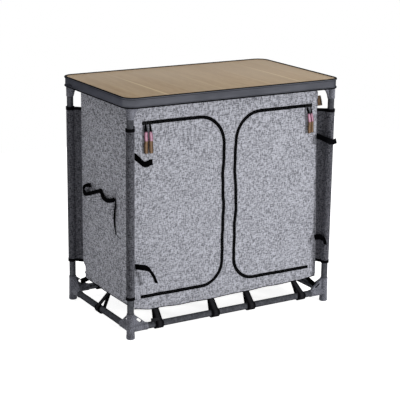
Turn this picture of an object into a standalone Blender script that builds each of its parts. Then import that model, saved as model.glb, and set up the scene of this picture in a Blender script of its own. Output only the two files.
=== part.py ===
"""Camping cupboard: a plug-together tube frame, a lift-off worktop and a hanging
fabric cabinet with two zipped doors. Metres, +Z up, the front faces -Y, and the
origin is on the floor at the middle of the footprint."""

import math

import bmesh
import bpy
from mathutils import Matrix, Vector
from mathutils.geometry import tessellate_polygon

# Overall size, measured over the worktop
WORKTOP_WIDTH = 0.820
WORKTOP_DEPTH = 0.490
HEIGHT = 0.800

# Fits
CLEARANCE = 0.0003
CUT_OVERRUN = 0.004
MERGE_DISTANCE = 0.00001

# Worktop: a pressed aluminium rim around a wood-faced board
RIM_HEIGHT = 0.035
RIM_CORNER_RADIUS = 0.042
RIM_CORNER_STEPS = 8
RIM_WALL = 0.0016
RIM_RECESS = 0.0014
RIM_BEAD_HEIGHT = 0.0042
RIM_BEAD_SLOPE = 0.0014
RIM_EASE = 0.0008
RIM_LIP = 0.0036
LEDGE_REACH = 0.0095
LEDGE_THICKNESS = 0.0018
BOARD_THICKNESS = 0.008
BOARD_SINK = 0.001
BOARD_EASE = 0.0008

# Tube frame
TUBE_RADIUS = 0.011
TUBE_WALL = 0.0012
TUBE_SIDES = 20
LEG_MARGIN_X = 0.0075
LEG_MARGIN_Y = 0.0085
BOTTOM_RAIL_Z = 0.035

# Three-way corner connectors
SOCKET_WALL = 0.0022
SOCKET_TAPER = 0.0006
SOCKET_ROOT = 0.003
CONNECTOR_REACH = 0.060
CONNECTOR_HEART = 0.0150
BOTTOM_SOCKET_RISE = 0.051
TOP_SOCKET_DROP = 0.046
GUSSET_THICKNESS = 0.008
GUSSET_EMBED = 0.003
GUSSET_LEG_GAP = 0.004
GUSSET_RAIL_GAP = 0.005
TOP_GUSSET_REACH = 0.031
SLOT_LENGTH = 0.023
SLOT_WIDTH = 0.0075
SLOT_RIB = 0.0028
SLOT_ARC_STEPS = 5

# Feet moulded below the bottom connectors
FOOT_HEIGHT = 0.013
FOOT_RADIUS = 0.0142
FOOT_EASE = 0.0018

# Fabric cabinet
CABINET_INSET = 0.0285
PANEL_THICKNESS = 0.003
HEM_Z = 0.086
CABINET_TOP_DROP = 0.028
TOP_CUT_X = 0.014
TOP_CUT_Z = 0.022
HEM_CUT_X = 0.008
HEM_CUT_Z = 0.014
FLOOR_RISE = 0.014
FLOOR_THICKNESS = 0.006
SHELF_THICKNESS = 0.006
SHELF_SETBACK = 0.006
SHELF_HEIGHT_SHARE = 0.5
DIVIDER_TOP_GAP = 0.012

# Sleeves of the cabinet round the legs, each on a diagonal flap
SLEEVE_HEM_MARGIN = 0.057
SLEEVE_TOP_MARGIN = 0.080
SLEEVE_SLACK = 0.0006
SLEEVE_WALL = 0.0022
FLAP_THICKNESS = 0.0030

# Door openings, given by the middle line of each zip
ZIP_TOP_MARGIN = 0.066
ZIP_HEM_MARGIN = 0.047
ZIP_INNER_X = 0.0235
ZIP_END_INSET = 0.0295
ZIP_TOP_RADIUS = 0.095
ZIP_BOTTOM_RADIUS = 0.080
ZIP_CORNER_STEPS = 10
ZIP_SLIT_HALF = 0.0007
ZIP_HALF_WIDTH = 0.0047
ZIP_END_BAR = 0.002
TAPE_PROUD = 0.0006
FOLD_INSET = 0.0675

# Zip sliders and their pulls
SLIDER_LENGTH = 0.012
SLIDER_FRONT_WIDTH = 0.009
SLIDER_TAIL_WIDTH = 0.0064
SLIDER_PLATE = 0.0013
SLIDER_WEB_HALF = 0.0004
BRIDGE_LENGTH = 0.0090
BRIDGE_WIDTH = 0.0024
BRIDGE_BAR = 0.0014
SLIDER_END_GAP = 0.0090
SLIDER_SPACING = 0.0155
PULL_CORD_RADIUS = 0.0009
PULL_CORD_SIDES = 6
PULL_LOOP_RADIUS = 0.0026
PULL_CORD_DROP = 0.0160
PULL_CORD_LAP = 0.0040
PULL_LOOP_STEPS = 6
PULL_TAB_WIDTH = 0.0110
PULL_TAB_LENGTH = 0.0820
PULL_TAB_THICKNESS = 0.0022
PULL_TAB_CORNER = 0.0022

# Webbing
STRAP_THICKNESS = 0.0017
STRAP_WIDTH = 0.024
STRAP_ARC_STEPS = 14
OUTER_LOOP_INSET = 0.106
INNER_LOOP_X = 0.070
SIDE_LOOP_Y = 0.0
TOP_LOOP_INSET = 0.206
TOP_LOOP_DROP = 0.009
HEM_LOOP_LAP = 0.006
LOOP_SEAM = 0.0068
LOOP_ROOT_HALF = 0.0010
CORNER_STRAP_WIDTH = 0.018
CORNER_STRAP_INSET_X = 0.022
CORNER_STRAP_INSET_Y = 0.030
CORNER_STRAP_END_X = 0.028
CORNER_STRAP_END_RISE = 0.026
CORNER_STRAP_LAP = 0.012
TIE_WIDTH = 0.019
TIE_INSET = 0.0055
TIE_REACH = 0.0630
LEFT_TIE_DRIFT = 0.0400
RIGHT_TIE_DRIFT = 0.0490
UPPER_TIE_DEPTH = 0.108
LOWER_TIE_RISE = 0.103
UPPER_TIE_DROP = 0.012
LOWER_TIE_DROP = 0.030
# Each row is (share of the reach, share of the drift, share of the drop)
LEFT_TIE_SHARES = (
    (0.0, 0.0, 0.0),
    (0.12, 0.02, 0.06),
    (0.32, 0.14, 0.35),
    (0.52, 0.34, 0.80),
    (0.72, 0.58, 1.00),
    (0.88, 0.80, 0.80),
    (1.0, 1.0, 0.45),
)
LEFT_LOWER_TIE_SHARES = (
    (0.0, 0.0, 0.0),
    (0.14, 0.03, -0.08),
    (0.36, 0.18, -0.12),
    (0.58, 0.42, 0.02),
    (0.78, 0.68, 0.30),
    (0.92, 0.88, 0.66),
    (1.0, 1.0, 1.0),
)
RIGHT_TIE_SHARES = (
    (0.0, 0.0, 0.0),
    (0.25, 0.02, 0.0),
    (0.52, 0.10, 0.05),
    (0.76, 0.30, 0.20),
    (0.90, 0.55, 0.45),
    (0.97, 0.78, 0.72),
    (1.0, 1.0, 1.0),
)

# Two-compartment pocket on the left side
POCKET_REAR_INSET = 0.0485
POCKET_NARROW_BAY = 0.072
POCKET_WIDE_BAY = 0.120
POCKET_SHELF_DROP = 0.00115
POCKET_HEIGHT = 0.132
POCKET_CLOTH = 0.0024
POCKET_WIDE_GAPE = 0.026
POCKET_NARROW_GAPE = 0.030
POCKET_SAG = 0.016
POCKET_ROWS = 5
POCKET_WIDE_STEPS = 10
POCKET_NARROW_STEPS = 8
POCKET_BELLY_SHARE = 0.42

# Leather tab in the front right corner seam
TAB_WIDTH = 0.017
TAB_TOP_HEIGHT = 0.026
TAB_BOTTOM_HEIGHT = 0.034
TAB_THICKNESS = 0.0022
TAB_DEPTH = 0.050

# Shading
SMOOTH_ANGLE = math.radians(35)

# Places worked out from the sizes above
HALF_WIDTH = WORKTOP_WIDTH / 2
HALF_DEPTH = WORKTOP_DEPTH / 2
BORE_RADIUS = TUBE_RADIUS + CLEARANCE
SOCKET_RADIUS = BORE_RADIUS + SOCKET_WALL
LEG_X = HALF_WIDTH - RIM_RECESS - RIM_WALL - LEG_MARGIN_X - SOCKET_RADIUS
LEG_Y = HALF_DEPTH - RIM_RECESS - RIM_WALL - LEG_MARGIN_Y - SOCKET_RADIUS
BOTTOM_GUSSET_RISE = BOTTOM_SOCKET_RISE - GUSSET_LEG_GAP
BOTTOM_GUSSET_REACH = CONNECTOR_REACH - GUSSET_RAIL_GAP
TOP_GUSSET_DROP = TOP_SOCKET_DROP - GUSSET_LEG_GAP
BOARD_TOP_Z = HEIGHT - BOARD_SINK
BOARD_BOTTOM_Z = BOARD_TOP_Z - BOARD_THICKNESS
LEDGE_TOP_Z = BOARD_BOTTOM_Z - CLEARANCE
LEDGE_BOTTOM_Z = LEDGE_TOP_Z - LEDGE_THICKNESS
TOP_RAIL_Z = LEDGE_BOTTOM_Z - CLEARANCE - SOCKET_RADIUS
CABINET_X = LEG_X - CABINET_INSET
CABINET_Y = LEG_Y - CABINET_INSET
FRONT_Y = -CABINET_Y
INNER_X = CABINET_X - PANEL_THICKNESS
INNER_Y = CABINET_Y - PANEL_THICKNESS
CABINET_TOP_Z = HEIGHT - CABINET_TOP_DROP
FLOOR_Z = HEM_Z + FLOOR_RISE
FLOOR_TOP_Z = FLOOR_Z + FLOOR_THICKNESS
DIVIDER_BOTTOM_Z = FLOOR_TOP_Z + CLEARANCE
DIVIDER_TOP_Z = CABINET_TOP_Z - DIVIDER_TOP_GAP
SHELF_TOP_Z = DIVIDER_BOTTOM_Z + (DIVIDER_TOP_Z - DIVIDER_BOTTOM_Z) * SHELF_HEIGHT_SHARE
SLEEVE_BOTTOM_Z = HEM_Z + SLEEVE_HEM_MARGIN
SLEEVE_TOP_Z = CABINET_TOP_Z - SLEEVE_TOP_MARGIN
ZIP_TOP_Z = CABINET_TOP_Z - ZIP_TOP_MARGIN
ZIP_BOTTOM_Z = HEM_Z + ZIP_HEM_MARGIN
ZIP_END_X = CABINET_X - ZIP_END_INSET
FOLD_X = CABINET_X - FOLD_INSET
OUTER_SLIDER_X = ZIP_END_X - SLIDER_END_GAP
INNER_SLIDER_X = OUTER_SLIDER_X - SLIDER_SPACING
TAPE_FRONT_Y = FRONT_Y - TAPE_PROUD
EDGE_OFFSET = ZIP_HALF_WIDTH + CLEARANCE
SLIDER_FRONT_Y = TAPE_FRONT_Y - CLEARANCE - SLIDER_PLATE
PULL_AXIS_Y = SLIDER_FRONT_Y - CLEARANCE - PULL_LOOP_RADIUS - PULL_CORD_RADIUS
UPPER_TIE_Z = ZIP_TOP_Z - UPPER_TIE_DEPTH
LOWER_TIE_Z = ZIP_BOTTOM_Z + LOWER_TIE_RISE
OUTER_LOOP_X = LEG_X - OUTER_LOOP_INSET
TOP_LOOP_X = LEG_X - TOP_LOOP_INSET
POCKET_REAR_Y = INNER_Y - POCKET_REAR_INSET
POCKET_SEAM_Y = POCKET_REAR_Y - POCKET_NARROW_BAY
POCKET_FRONT_Y = POCKET_SEAM_Y - POCKET_WIDE_BAY
POCKET_TOP_Z = SHELF_TOP_Z - POCKET_SHELF_DROP
POCKET_BOTTOM_Z = POCKET_TOP_Z - POCKET_HEIGHT
TAB_MIDDLE_Z = CABINET_TOP_Z - TAB_DEPTH
LEFT = -1
RIGHT = 1
HEM_LOOP_STATIONS = (-OUTER_LOOP_X, -INNER_LOOP_X, INNER_LOOP_X, OUTER_LOOP_X)

# Corner name, side in x, side in y, and the turn that points the sockets inwards
CORNERS = (
    ("front_left", -1, -1, 0),
    ("front_right", 1, -1, 90),
    ("rear_right", 1, 1, 180),
    ("rear_left", -1, 1, 270),
)


def make_material(name, colour, roughness, metallic=0.0):
    """A plain Principled material."""
    material = bpy.data.materials.new(name)
    material.use_nodes = True
    shader = material.node_tree.nodes["Principled BSDF"]
    shader.inputs["Base Color"].default_value = (*colour, 1.0)
    shader.inputs["Roughness"].default_value = roughness
    shader.inputs["Metallic"].default_value = metallic
    material.diffuse_color = (*colour, 1.0)
    return material


def mesh_object(name, mesh, material, location=(0, 0, 0), turn_z=0.0, parent=None):
    """Put a mesh into the scene as a named object."""
    if not mesh.materials:
        mesh.materials.append(material)
    item = bpy.data.objects.new(name, mesh)
    item.location = location
    item.rotation_euler = (0, 0, turn_z)
    item.parent = parent
    bpy.context.scene.collection.objects.link(item)
    return item


def finish_mesh(name, shape):
    """Turn a bmesh into a mesh whose faces point out and whose round faces are smooth."""
    bmesh.ops.recalc_face_normals(shape, faces=shape.faces)
    mesh = bpy.data.meshes.new(name)
    shape.to_mesh(mesh)
    shape.free()
    mesh.shade_smooth()
    mesh.set_sharp_from_angle(angle=SMOOTH_ANGLE)
    return mesh


def solid(name, shape, material, origin=(0, 0, 0), parent=None):
    """An object from a bmesh drawn in world places, with its origin moved to a point."""
    bmesh.ops.translate(shape, verts=shape.verts, vec=-Vector(origin))
    place = Vector(origin)
    if parent:
        place = place - parent.location
    return mesh_object(name, finish_mesh(name, shape), material, place, parent=parent)


def empty(name, location):
    """An empty that marks a joint's axis and carries the pieces that turn on it."""
    marker = bpy.data.objects.new(name, None)
    marker.location = location
    bpy.context.scene.collection.objects.link(marker)
    return marker


def add_slab(shape, outline, low, high, across, holes=()):
    """Extrude a flat outline, less its holes, from low to high along one axis.

    across is "X", "Y" or "Z"; the outline is in the other two axes, in that order."""
    loops = [list(outline)] + [list(hole) for hole in holes]
    flat = [point for loop in loops for point in loop]

    def place(point, level):
        first, second = point
        if across == "X":
            return (level, first, second)
        if across == "Y":
            return (first, level, second)
        return (first, second, level)

    bottom = [shape.verts.new(place(point, low)) for point in flat]
    top = [shape.verts.new(place(point, high)) for point in flat]
    if holes:
        corners = [[Vector((a, b, 0)) for a, b in loop] for loop in loops]
        for triangle in tessellate_polygon(corners):
            shape.faces.new([bottom[index] for index in triangle])
            shape.faces.new([top[index] for index in reversed(triangle)])
    else:
        shape.faces.new(bottom)
        shape.faces.new(list(reversed(top)))
    start = 0
    for loop in loops:
        count = len(loop)
        for step in range(count):
            here = start + step
            following = start + (step + 1) % count
            shape.faces.new((bottom[here], bottom[following], top[following], top[here]))
        start += count


def slab(outline, low, high, across, holes=()):
    """A bmesh that holds one extruded outline."""
    shape = bmesh.new()
    add_slab(shape, outline, low, high, across, holes)
    return shape


def box_outline(low_a, high_a, low_b, high_b):
    """The four corners of a rectangle."""
    return [(low_a, low_b), (high_a, low_b), (high_a, high_b), (low_a, high_b)]


def arc(centre, radius, start_degrees, end_degrees, steps):
    """Points along an arc, both ends included."""
    points = []
    for step in range(steps + 1):
        angle = math.radians(start_degrees + (end_degrees - start_degrees) * step / steps)
        points.append((centre[0] + radius * math.cos(angle), centre[1] + radius * math.sin(angle)))
    return points


def circle(centre, radius, sides):
    """Points round a circle."""
    return arc(centre, radius, 0, 360 * (sides - 1) / sides, sides - 1)


def turned(profile, sides, hollow=False):
    """Revolve a (radius, height) profile about Z: a closed ring, or a body with flat ends."""
    shape = bmesh.new()
    rings = []
    for radius, height in profile:
        rings.append([shape.verts.new((a, b, height)) for a, b in circle((0, 0), radius, sides)])
    pairs = list(zip(rings, rings[1:]))
    if hollow:
        pairs.append((rings[-1], rings[0]))
    else:
        shape.faces.new(rings[0])
        shape.faces.new(rings[-1])
    for ring, following in pairs:
        for step in range(sides):
            onward = (step + 1) % sides
            shape.faces.new((ring[step], ring[onward], following[onward], following[step]))
    return shape


def point_along(shape, axis):
    """Lay a bmesh that stands along Z onto +X or +Y."""
    turn = Matrix.Identity(3)
    if axis == "X":
        turn = Matrix.Rotation(math.radians(90), 3, "Y")
    if axis == "Y":
        turn = Matrix.Rotation(math.radians(-90), 3, "X")
    bmesh.ops.rotate(shape, verts=shape.verts, cent=(0, 0, 0), matrix=turn)
    return shape


def tube(length, axis):
    """A hollow tube from the origin along an axis."""
    inner = TUBE_RADIUS - TUBE_WALL
    profile = [(TUBE_RADIUS, 0), (TUBE_RADIUS, length), (inner, length), (inner, 0)]
    return point_along(turned(profile, TUBE_SIDES, hollow=True), axis)


def rod(radius, start, end, axis):
    """A solid round bar between two stations of an axis."""
    return point_along(turned([(radius, start), (radius, end)], TUBE_SIDES), axis)


def ribbon(points, width, thickness):
    """A flat band along a route, with its width upright and its thickness level."""
    shape = bmesh.new()
    rings = []
    for index, point in enumerate(points):
        before = points[max(index - 1, 0)]
        after = points[min(index + 1, len(points) - 1)]
        run = Vector((after[0] - before[0], after[1] - before[1], 0)).normalized()
        side = Vector((-run.y, run.x, 0)) * thickness / 2
        rise = Vector((0, 0, width / 2))
        centre = Vector(point)
        corners = (centre - side - rise, centre + side - rise, centre + side + rise, centre - side + rise)
        rings.append([shape.verts.new(corner) for corner in corners])
    for ring, following in zip(rings, rings[1:]):
        for step in range(4):
            onward = (step + 1) % 4
            shape.faces.new((ring[step], ring[onward], following[onward], following[step]))
    shape.faces.new(rings[0])
    shape.faces.new(list(reversed(rings[-1])))
    return shape


def closed_cord(points, radius, sides):
    """A round cord along a closed route that lies in the YZ plane."""
    shape = bmesh.new()
    rings = []
    count = len(points)
    for index, point in enumerate(points):
        run = (points[(index + 1) % count] - points[index - 1]).normalized()
        outward = run.cross(Vector((1, 0, 0)))
        ring = []
        for across, along in circle((0, 0), radius, sides):
            ring.append(shape.verts.new(point + outward * across + Vector((1, 0, 0)) * along))
        rings.append(ring)
    for ring, following in zip(rings, rings[1:] + rings[:1]):
        for step in range(sides):
            onward = (step + 1) % sides
            shape.faces.new((ring[step], ring[onward], following[onward], following[step]))
    return shape


def fuse(name, first, added, removed):
    """One closed mesh: the first body with others fused on and others cut away."""
    def hidden(label, shape):
        guide = mesh_object(label, finish_mesh(label, shape), None)
        guide.hide_render = True
        guide.display_type = "WIRE"
        return guide

    guides = [hidden(f"{name}_guide", first)]
    steps = [("UNION", shape) for shape in added] + [("DIFFERENCE", shape) for shape in removed]
    for operation, shape in steps:
        guides.append(hidden(f"{name}_guide", shape))
        cut = guides[0].modifiers.new(operation, "BOOLEAN")
        cut.operation = operation
        cut.solver = "EXACT"
        cut.object = guides[-1]
    bpy.context.view_layer.update()
    evaluated = guides[0].evaluated_get(bpy.context.evaluated_depsgraph_get())
    raw = bpy.data.meshes.new_from_object(evaluated)
    shape = bmesh.new()
    shape.from_mesh(raw)
    bpy.data.meshes.remove(raw)
    bmesh.ops.remove_doubles(shape, verts=shape.verts, dist=MERGE_DISTANCE)
    for guide in guides:
        bpy.data.objects.remove(guide)
    return finish_mesh(name, shape)


# Worktop


def rounded_ring(inset):
    """Points round the worktop's outline, drawn in by an inset."""
    radius = RIM_CORNER_RADIUS - inset
    centre_x = HALF_WIDTH - RIM_CORNER_RADIUS
    centre_y = HALF_DEPTH - RIM_CORNER_RADIUS
    quarters = ((1, 1, 0), (-1, 1, 90), (-1, -1, 180), (1, -1, 270))
    points = []
    for side_x, side_y, start in quarters:
        centre = (side_x * centre_x, side_y * centre_y)
        points += arc(centre, radius, start, start + 90, RIM_CORNER_STEPS)
    return points


def ring_body(profile):
    """Sweep a closed (inset, z) profile round the worktop's outline."""
    shape = bmesh.new()
    rings = [[shape.verts.new((a, b, z)) for a, b in rounded_ring(inset)] for inset, z in profile]
    count = len(rings[0])
    for ring, following in zip(rings, rings[1:] + rings[:1]):
        for step in range(count):
            onward = (step + 1) % count
            shape.faces.new((ring[step], ring[onward], following[onward], following[step]))
    return shape


def worktop_rim(material):
    """The rim: two beads with a shallow recessed face between, and a ledge for the board."""
    bottom = HEIGHT - RIM_HEIGHT
    inner_face = RIM_RECESS + RIM_WALL
    upper_bead = HEIGHT - RIM_BEAD_HEIGHT
    lower_bead = bottom + RIM_BEAD_HEIGHT
    profile = [
        (0, HEIGHT - RIM_EASE),
        (RIM_EASE, HEIGHT),
        (RIM_LIP, HEIGHT),
        (RIM_LIP, LEDGE_TOP_Z),
        (LEDGE_REACH, LEDGE_TOP_Z),
        (LEDGE_REACH, LEDGE_BOTTOM_Z),
        (inner_face, LEDGE_BOTTOM_Z),
        (inner_face, bottom),
        (RIM_EASE, bottom),
        (0, bottom + RIM_EASE),
        (0, lower_bead),
        (RIM_RECESS, lower_bead + RIM_BEAD_SLOPE),
        (RIM_RECESS, upper_bead - RIM_BEAD_SLOPE),
        (0, upper_bead),
    ]
    return solid("worktop_rim", ring_body(profile), material)


def worktop_board(material):
    """The board, dropped into the rim with its top edge eased."""
    edge = RIM_LIP + CLEARANCE
    shape = bmesh.new()
    levels = ((edge, BOARD_BOTTOM_Z), (edge, BOARD_TOP_Z - BOARD_EASE), (edge + BOARD_EASE, BOARD_TOP_Z))
    rings = [[shape.verts.new((a, b, z)) for a, b in rounded_ring(inset)] for inset, z in levels]
    count = len(rings[0])
    for ring, following in zip(rings, rings[1:]):
        for step in range(count):
            onward = (step + 1) % count
            shape.faces.new((ring[step], ring[onward], following[onward], following[step]))
    shape.faces.new(rings[0])
    shape.faces.new(rings[-1])
    return solid("worktop_board", shape, material)


# Tube frame


def gusset_outline(leg_side, rail_side, sign):
    """The triangular web between a leg socket and a rail socket, in (out, up)."""
    inside = SOCKET_RADIUS - GUSSET_EMBED
    return [
        (inside, sign * inside),
        (rail_side, sign * inside),
        (rail_side, sign * SOCKET_RADIUS),
        (SOCKET_RADIUS, sign * leg_side),
        (inside, sign * leg_side),
    ]


def gusset_slot(leg_side, rail_side, sign):
    """The webbing slot inside a web, along its slanting edge, with round ends."""
    high = Vector((SOCKET_RADIUS, leg_side))
    low = Vector((rail_side, SOCKET_RADIUS))
    along = (low - high).normalized()
    inward = Vector((-along.y, along.x))
    if inward.x > 0:
        inward = -inward
    middle = (high + low) / 2 + inward * (SLOT_RIB + SLOT_WIDTH / 2)
    half_run = (SLOT_LENGTH - SLOT_WIDTH) / 2
    slant = math.degrees(math.atan2(along.y, along.x))
    first = middle + along * half_run
    second = middle - along * half_run
    points = arc(first, SLOT_WIDTH / 2, slant - 90, slant + 90, SLOT_ARC_STEPS)
    points += arc(second, SLOT_WIDTH / 2, slant + 90, slant + 270, SLOT_ARC_STEPS)
    return [(out, sign * up) for out, up in points]


def connector_mesh(name, sign, socket_end, gusset_leg, gusset_rail, slotted, foot):
    """A three-way moulded corner: a leg socket along Z and rail sockets along +X and +Y.

    sign is +1 with the leg above the rails and -1 with the leg below them. Heights
    are counted from the rails' axis."""
    mouth = SOCKET_RADIUS - SOCKET_TAPER
    profile = [(mouth, sign * socket_end), (SOCKET_RADIUS, 0)]
    if foot:
        foot_top = FOOT_HEIGHT - BOTTOM_RAIL_Z
        profile += [
            (SOCKET_RADIUS, foot_top),
            (FOOT_RADIUS, foot_top),
            (FOOT_RADIUS, FOOT_EASE - BOTTOM_RAIL_Z),
            (FOOT_RADIUS - FOOT_EASE, -BOTTOM_RAIL_Z),
        ]
    else:
        profile.append((SOCKET_RADIUS, -sign * SOCKET_RADIUS))
    added = []
    removed = [rod(BORE_RADIUS, sign * CONNECTOR_HEART, sign * (socket_end + CUT_OVERRUN), "Z")]
    half_web = GUSSET_THICKNESS / 2
    outline = gusset_outline(gusset_leg, gusset_rail, sign)
    holes = [gusset_slot(gusset_leg, gusset_rail, sign)] if slotted else []
    for axis, across in (("X", "Y"), ("Y", "X")):
        added.append(rod(mouth, SOCKET_ROOT, CONNECTOR_REACH, axis))
        added.append(slab(outline, -half_web, half_web, across, holes))
        removed.append(rod(BORE_RADIUS, CONNECTOR_HEART, CONNECTOR_REACH + CUT_OVERRUN, axis))
    return fuse(name, turned(profile, TUBE_SIDES), added, removed)


def connectors(material):
    """Eight corner connectors, the four lower ones with slotted webs and a foot."""
    lower = connector_mesh("bottom_connector", 1, BOTTOM_SOCKET_RISE, BOTTOM_GUSSET_RISE,
                           BOTTOM_GUSSET_REACH, True, True)
    upper = connector_mesh("top_connector", -1, TOP_SOCKET_DROP, TOP_GUSSET_DROP,
                           TOP_GUSSET_REACH, False, False)
    for corner, side_x, side_y, turn in CORNERS:
        for label, mesh, height in (("bottom", lower, BOTTOM_RAIL_Z), ("top", upper, TOP_RAIL_Z)):
            place = (side_x * LEG_X, side_y * LEG_Y, height)
            mesh_object(f"{label}_connector_{corner}", mesh, material, place, math.radians(turn))


def legs_and_rails(material):
    """Four legs, four bottom rails and four top rails, each end seated in its socket."""
    seat = CONNECTOR_HEART + CLEARANCE
    leg_length = TOP_RAIL_Z - BOTTOM_RAIL_Z - 2 * seat
    leg = finish_mesh("leg", tube(leg_length, "Z"))
    for corner, side_x, side_y, _ in CORNERS:
        place = (side_x * LEG_X, side_y * LEG_Y, BOTTOM_RAIL_Z + seat)
        mesh_object(f"leg_{corner}", leg, material, place)
    long_rail = finish_mesh("long_rail", tube(2 * (LEG_X - seat), "X"))
    short_rail = finish_mesh("short_rail", tube(2 * (LEG_Y - seat), "Y"))
    for label, height in (("bottom", BOTTOM_RAIL_Z), ("top", TOP_RAIL_Z)):
        for corner, side in (("front", -1), ("rear", 1)):
            place = (seat - LEG_X, side * LEG_Y, height)
            mesh_object(f"{label}_rail_{corner}", long_rail, material, place)
        for corner, side in (("left", -1), ("right", 1)):
            place = (side * LEG_X, seat - LEG_Y, height)
            mesh_object(f"{label}_rail_{corner}", short_rail, material, place)


# Fabric cabinet


def panel_outline(half, cut_top):
    """A panel's outline with its top corners cut and its hem corners drawn in."""
    return [
        (-half + HEM_CUT_X, HEM_Z),
        (half - HEM_CUT_X, HEM_Z),
        (half, HEM_Z + HEM_CUT_Z),
        (half, CABINET_TOP_Z - TOP_CUT_Z),
        (half - cut_top, CABINET_TOP_Z),
        (-half + cut_top, CABINET_TOP_Z),
        (-half, CABINET_TOP_Z - TOP_CUT_Z),
        (-half, HEM_Z + HEM_CUT_Z),
    ]


def zip_route(side, offset, end_x):
    """The zip's line, moved out from the door by an offset: top end, corners, bottom end."""
    upper_centre = (ZIP_INNER_X + ZIP_TOP_RADIUS, ZIP_TOP_Z - ZIP_TOP_RADIUS)
    lower_centre = (ZIP_INNER_X + ZIP_BOTTOM_RADIUS, ZIP_BOTTOM_Z + ZIP_BOTTOM_RADIUS)
    points = [(end_x, ZIP_TOP_Z + offset)]
    points += arc(upper_centre, ZIP_TOP_RADIUS + offset, 90, 180, ZIP_CORNER_STEPS)
    points += arc(lower_centre, ZIP_BOTTOM_RADIUS + offset, 180, 270, ZIP_CORNER_STEPS)
    points.append((end_x, ZIP_BOTTOM_Z - offset))
    return [(side * x, z) for x, z in points]


def door_opening(side):
    """The hole in the front panel: the door's place and a slot for each parked zip end."""
    end_x = ZIP_END_X + CLEARANCE
    points = zip_route(side, EDGE_OFFSET, end_x)
    points += [
        (side * end_x, ZIP_BOTTOM_Z + EDGE_OFFSET),
        (side * FOLD_X, ZIP_BOTTOM_Z + EDGE_OFFSET),
        (side * FOLD_X, ZIP_TOP_Z - EDGE_OFFSET),
        (side * end_x, ZIP_TOP_Z - EDGE_OFFSET),
    ]
    return points


def frame_tape_outline(side):
    """The zip half sewn to the front panel, turned back along the slit at both ends."""
    slit_end = side * (ZIP_END_X - ZIP_END_BAR)
    stub_end = side * (FOLD_X + CLEARANCE)
    points = zip_route(side, ZIP_HALF_WIDTH, ZIP_END_X)
    points += [
        (side * ZIP_END_X, ZIP_BOTTOM_Z + ZIP_HALF_WIDTH),
        (stub_end, ZIP_BOTTOM_Z + ZIP_HALF_WIDTH),
        (stub_end, ZIP_BOTTOM_Z + ZIP_SLIT_HALF),
        (slit_end, ZIP_BOTTOM_Z + ZIP_SLIT_HALF),
    ]
    points += reversed(zip_route(side, ZIP_SLIT_HALF, ZIP_END_X - ZIP_END_BAR))
    points += [
        (slit_end, ZIP_TOP_Z - ZIP_SLIT_HALF),
        (stub_end, ZIP_TOP_Z - ZIP_SLIT_HALF),
        (stub_end, ZIP_TOP_Z - ZIP_HALF_WIDTH),
        (side * ZIP_END_X, ZIP_TOP_Z - ZIP_HALF_WIDTH),
    ]
    return points


def door_tape_outline(side):
    """The zip half sewn round the door, from fold to fold."""
    edge = FOLD_X - CLEARANCE
    points = zip_route(side, -ZIP_SLIT_HALF, edge)
    points += reversed(zip_route(side, -ZIP_HALF_WIDTH, edge))
    return points


def top_loop(side, leg, edge, middle, across):
    """A webbing loop sewn to a panel's top edge, round the top rail beside it."""
    apex = (side * (edge - PANEL_THICKNESS / 2), CABINET_TOP_Z - TOP_LOOP_DROP)
    return loop_strap((side * leg, TOP_RAIL_Z), apex, middle, across, LOOP_ROOT_HALF)


def hem_loop(side, leg, edge, middle, across):
    """A webbing loop sewn to a panel's hem, round the bottom rail below it."""
    apex = (side * (edge - PANEL_THICKNESS / 2), HEM_Z + HEM_LOOP_LAP)
    return loop_strap((side * leg, BOTTOM_RAIL_Z), apex, middle, across, LOOP_ROOT_HALF)


def cabinet_panels(fabric):
    """The front with its door openings, the back and the sides, with their sewn loops."""
    outline = panel_outline(CABINET_X, TOP_CUT_X)
    front = slab(outline, FRONT_Y, FRONT_Y + PANEL_THICKNESS, "Y")
    near = FRONT_Y - CUT_OVERRUN
    far = FRONT_Y + PANEL_THICKNESS + CUT_OVERRUN
    openings = [slab(door_opening(side), near, far, "Y") for side in (LEFT, RIGHT)]
    hangers = [top_loop(-1, LEG_Y, CABINET_Y, middle, "X") for middle in (-TOP_LOOP_X, TOP_LOOP_X)]
    mesh_object("cabinet_front", fuse("cabinet_front", front, hangers, openings), fabric)

    rear = slab(outline, INNER_Y, CABINET_Y, "Y")
    loops = [top_loop(1, LEG_Y, CABINET_Y, middle, "X") for middle in (-TOP_LOOP_X, TOP_LOOP_X)]
    loops += [hem_loop(1, LEG_Y, CABINET_Y, middle, "X") for middle in HEM_LOOP_STATIONS]
    mesh_object("cabinet_back", fuse("cabinet_back", rear, loops, []), fabric)

    outline = panel_outline(INNER_Y - CLEARANCE, TOP_CUT_X)
    for label, side in (("left", LEFT), ("right", RIGHT)):
        low, high = sorted((side * INNER_X, side * CABINET_X))
        wall = slab(outline, low, high, "X")
        loops = [top_loop(side, LEG_X, CABINET_X, SIDE_LOOP_Y, "Y")]
        loops.append(hem_loop(side, LEG_X, CABINET_X, SIDE_LOOP_Y, "Y"))
        mesh_object(f"cabinet_{label}", fuse(f"cabinet_{label}", wall, loops, []), fabric)


def cabinet_inside(fabric, board):
    """The floor, the divider and a shelf on each side of it."""
    room_x = INNER_X - CLEARANCE
    room_y = INNER_Y - CLEARANCE
    floor = slab(box_outline(-room_x, room_x, -room_y, room_y), FLOOR_Z, FLOOR_TOP_Z, "Z")
    solid("cabinet_floor", floor, board)
    half = PANEL_THICKNESS / 2
    front_y = SHELF_SETBACK - room_y
    divider = slab(box_outline(front_y, room_y, DIVIDER_BOTTOM_Z, DIVIDER_TOP_Z), -half, half, "X")
    solid("cabinet_divider", divider, fabric)
    shelf_low = SHELF_TOP_Z - SHELF_THICKNESS
    for label, side in (("left", LEFT), ("right", RIGHT)):
        low, high = sorted((side * (half + CLEARANCE), side * room_x))
        shelf = slab(box_outline(low, high, front_y, room_y), shelf_low, SHELF_TOP_Z, "Z")
        solid(f"shelf_{label}", shelf, board)


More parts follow.
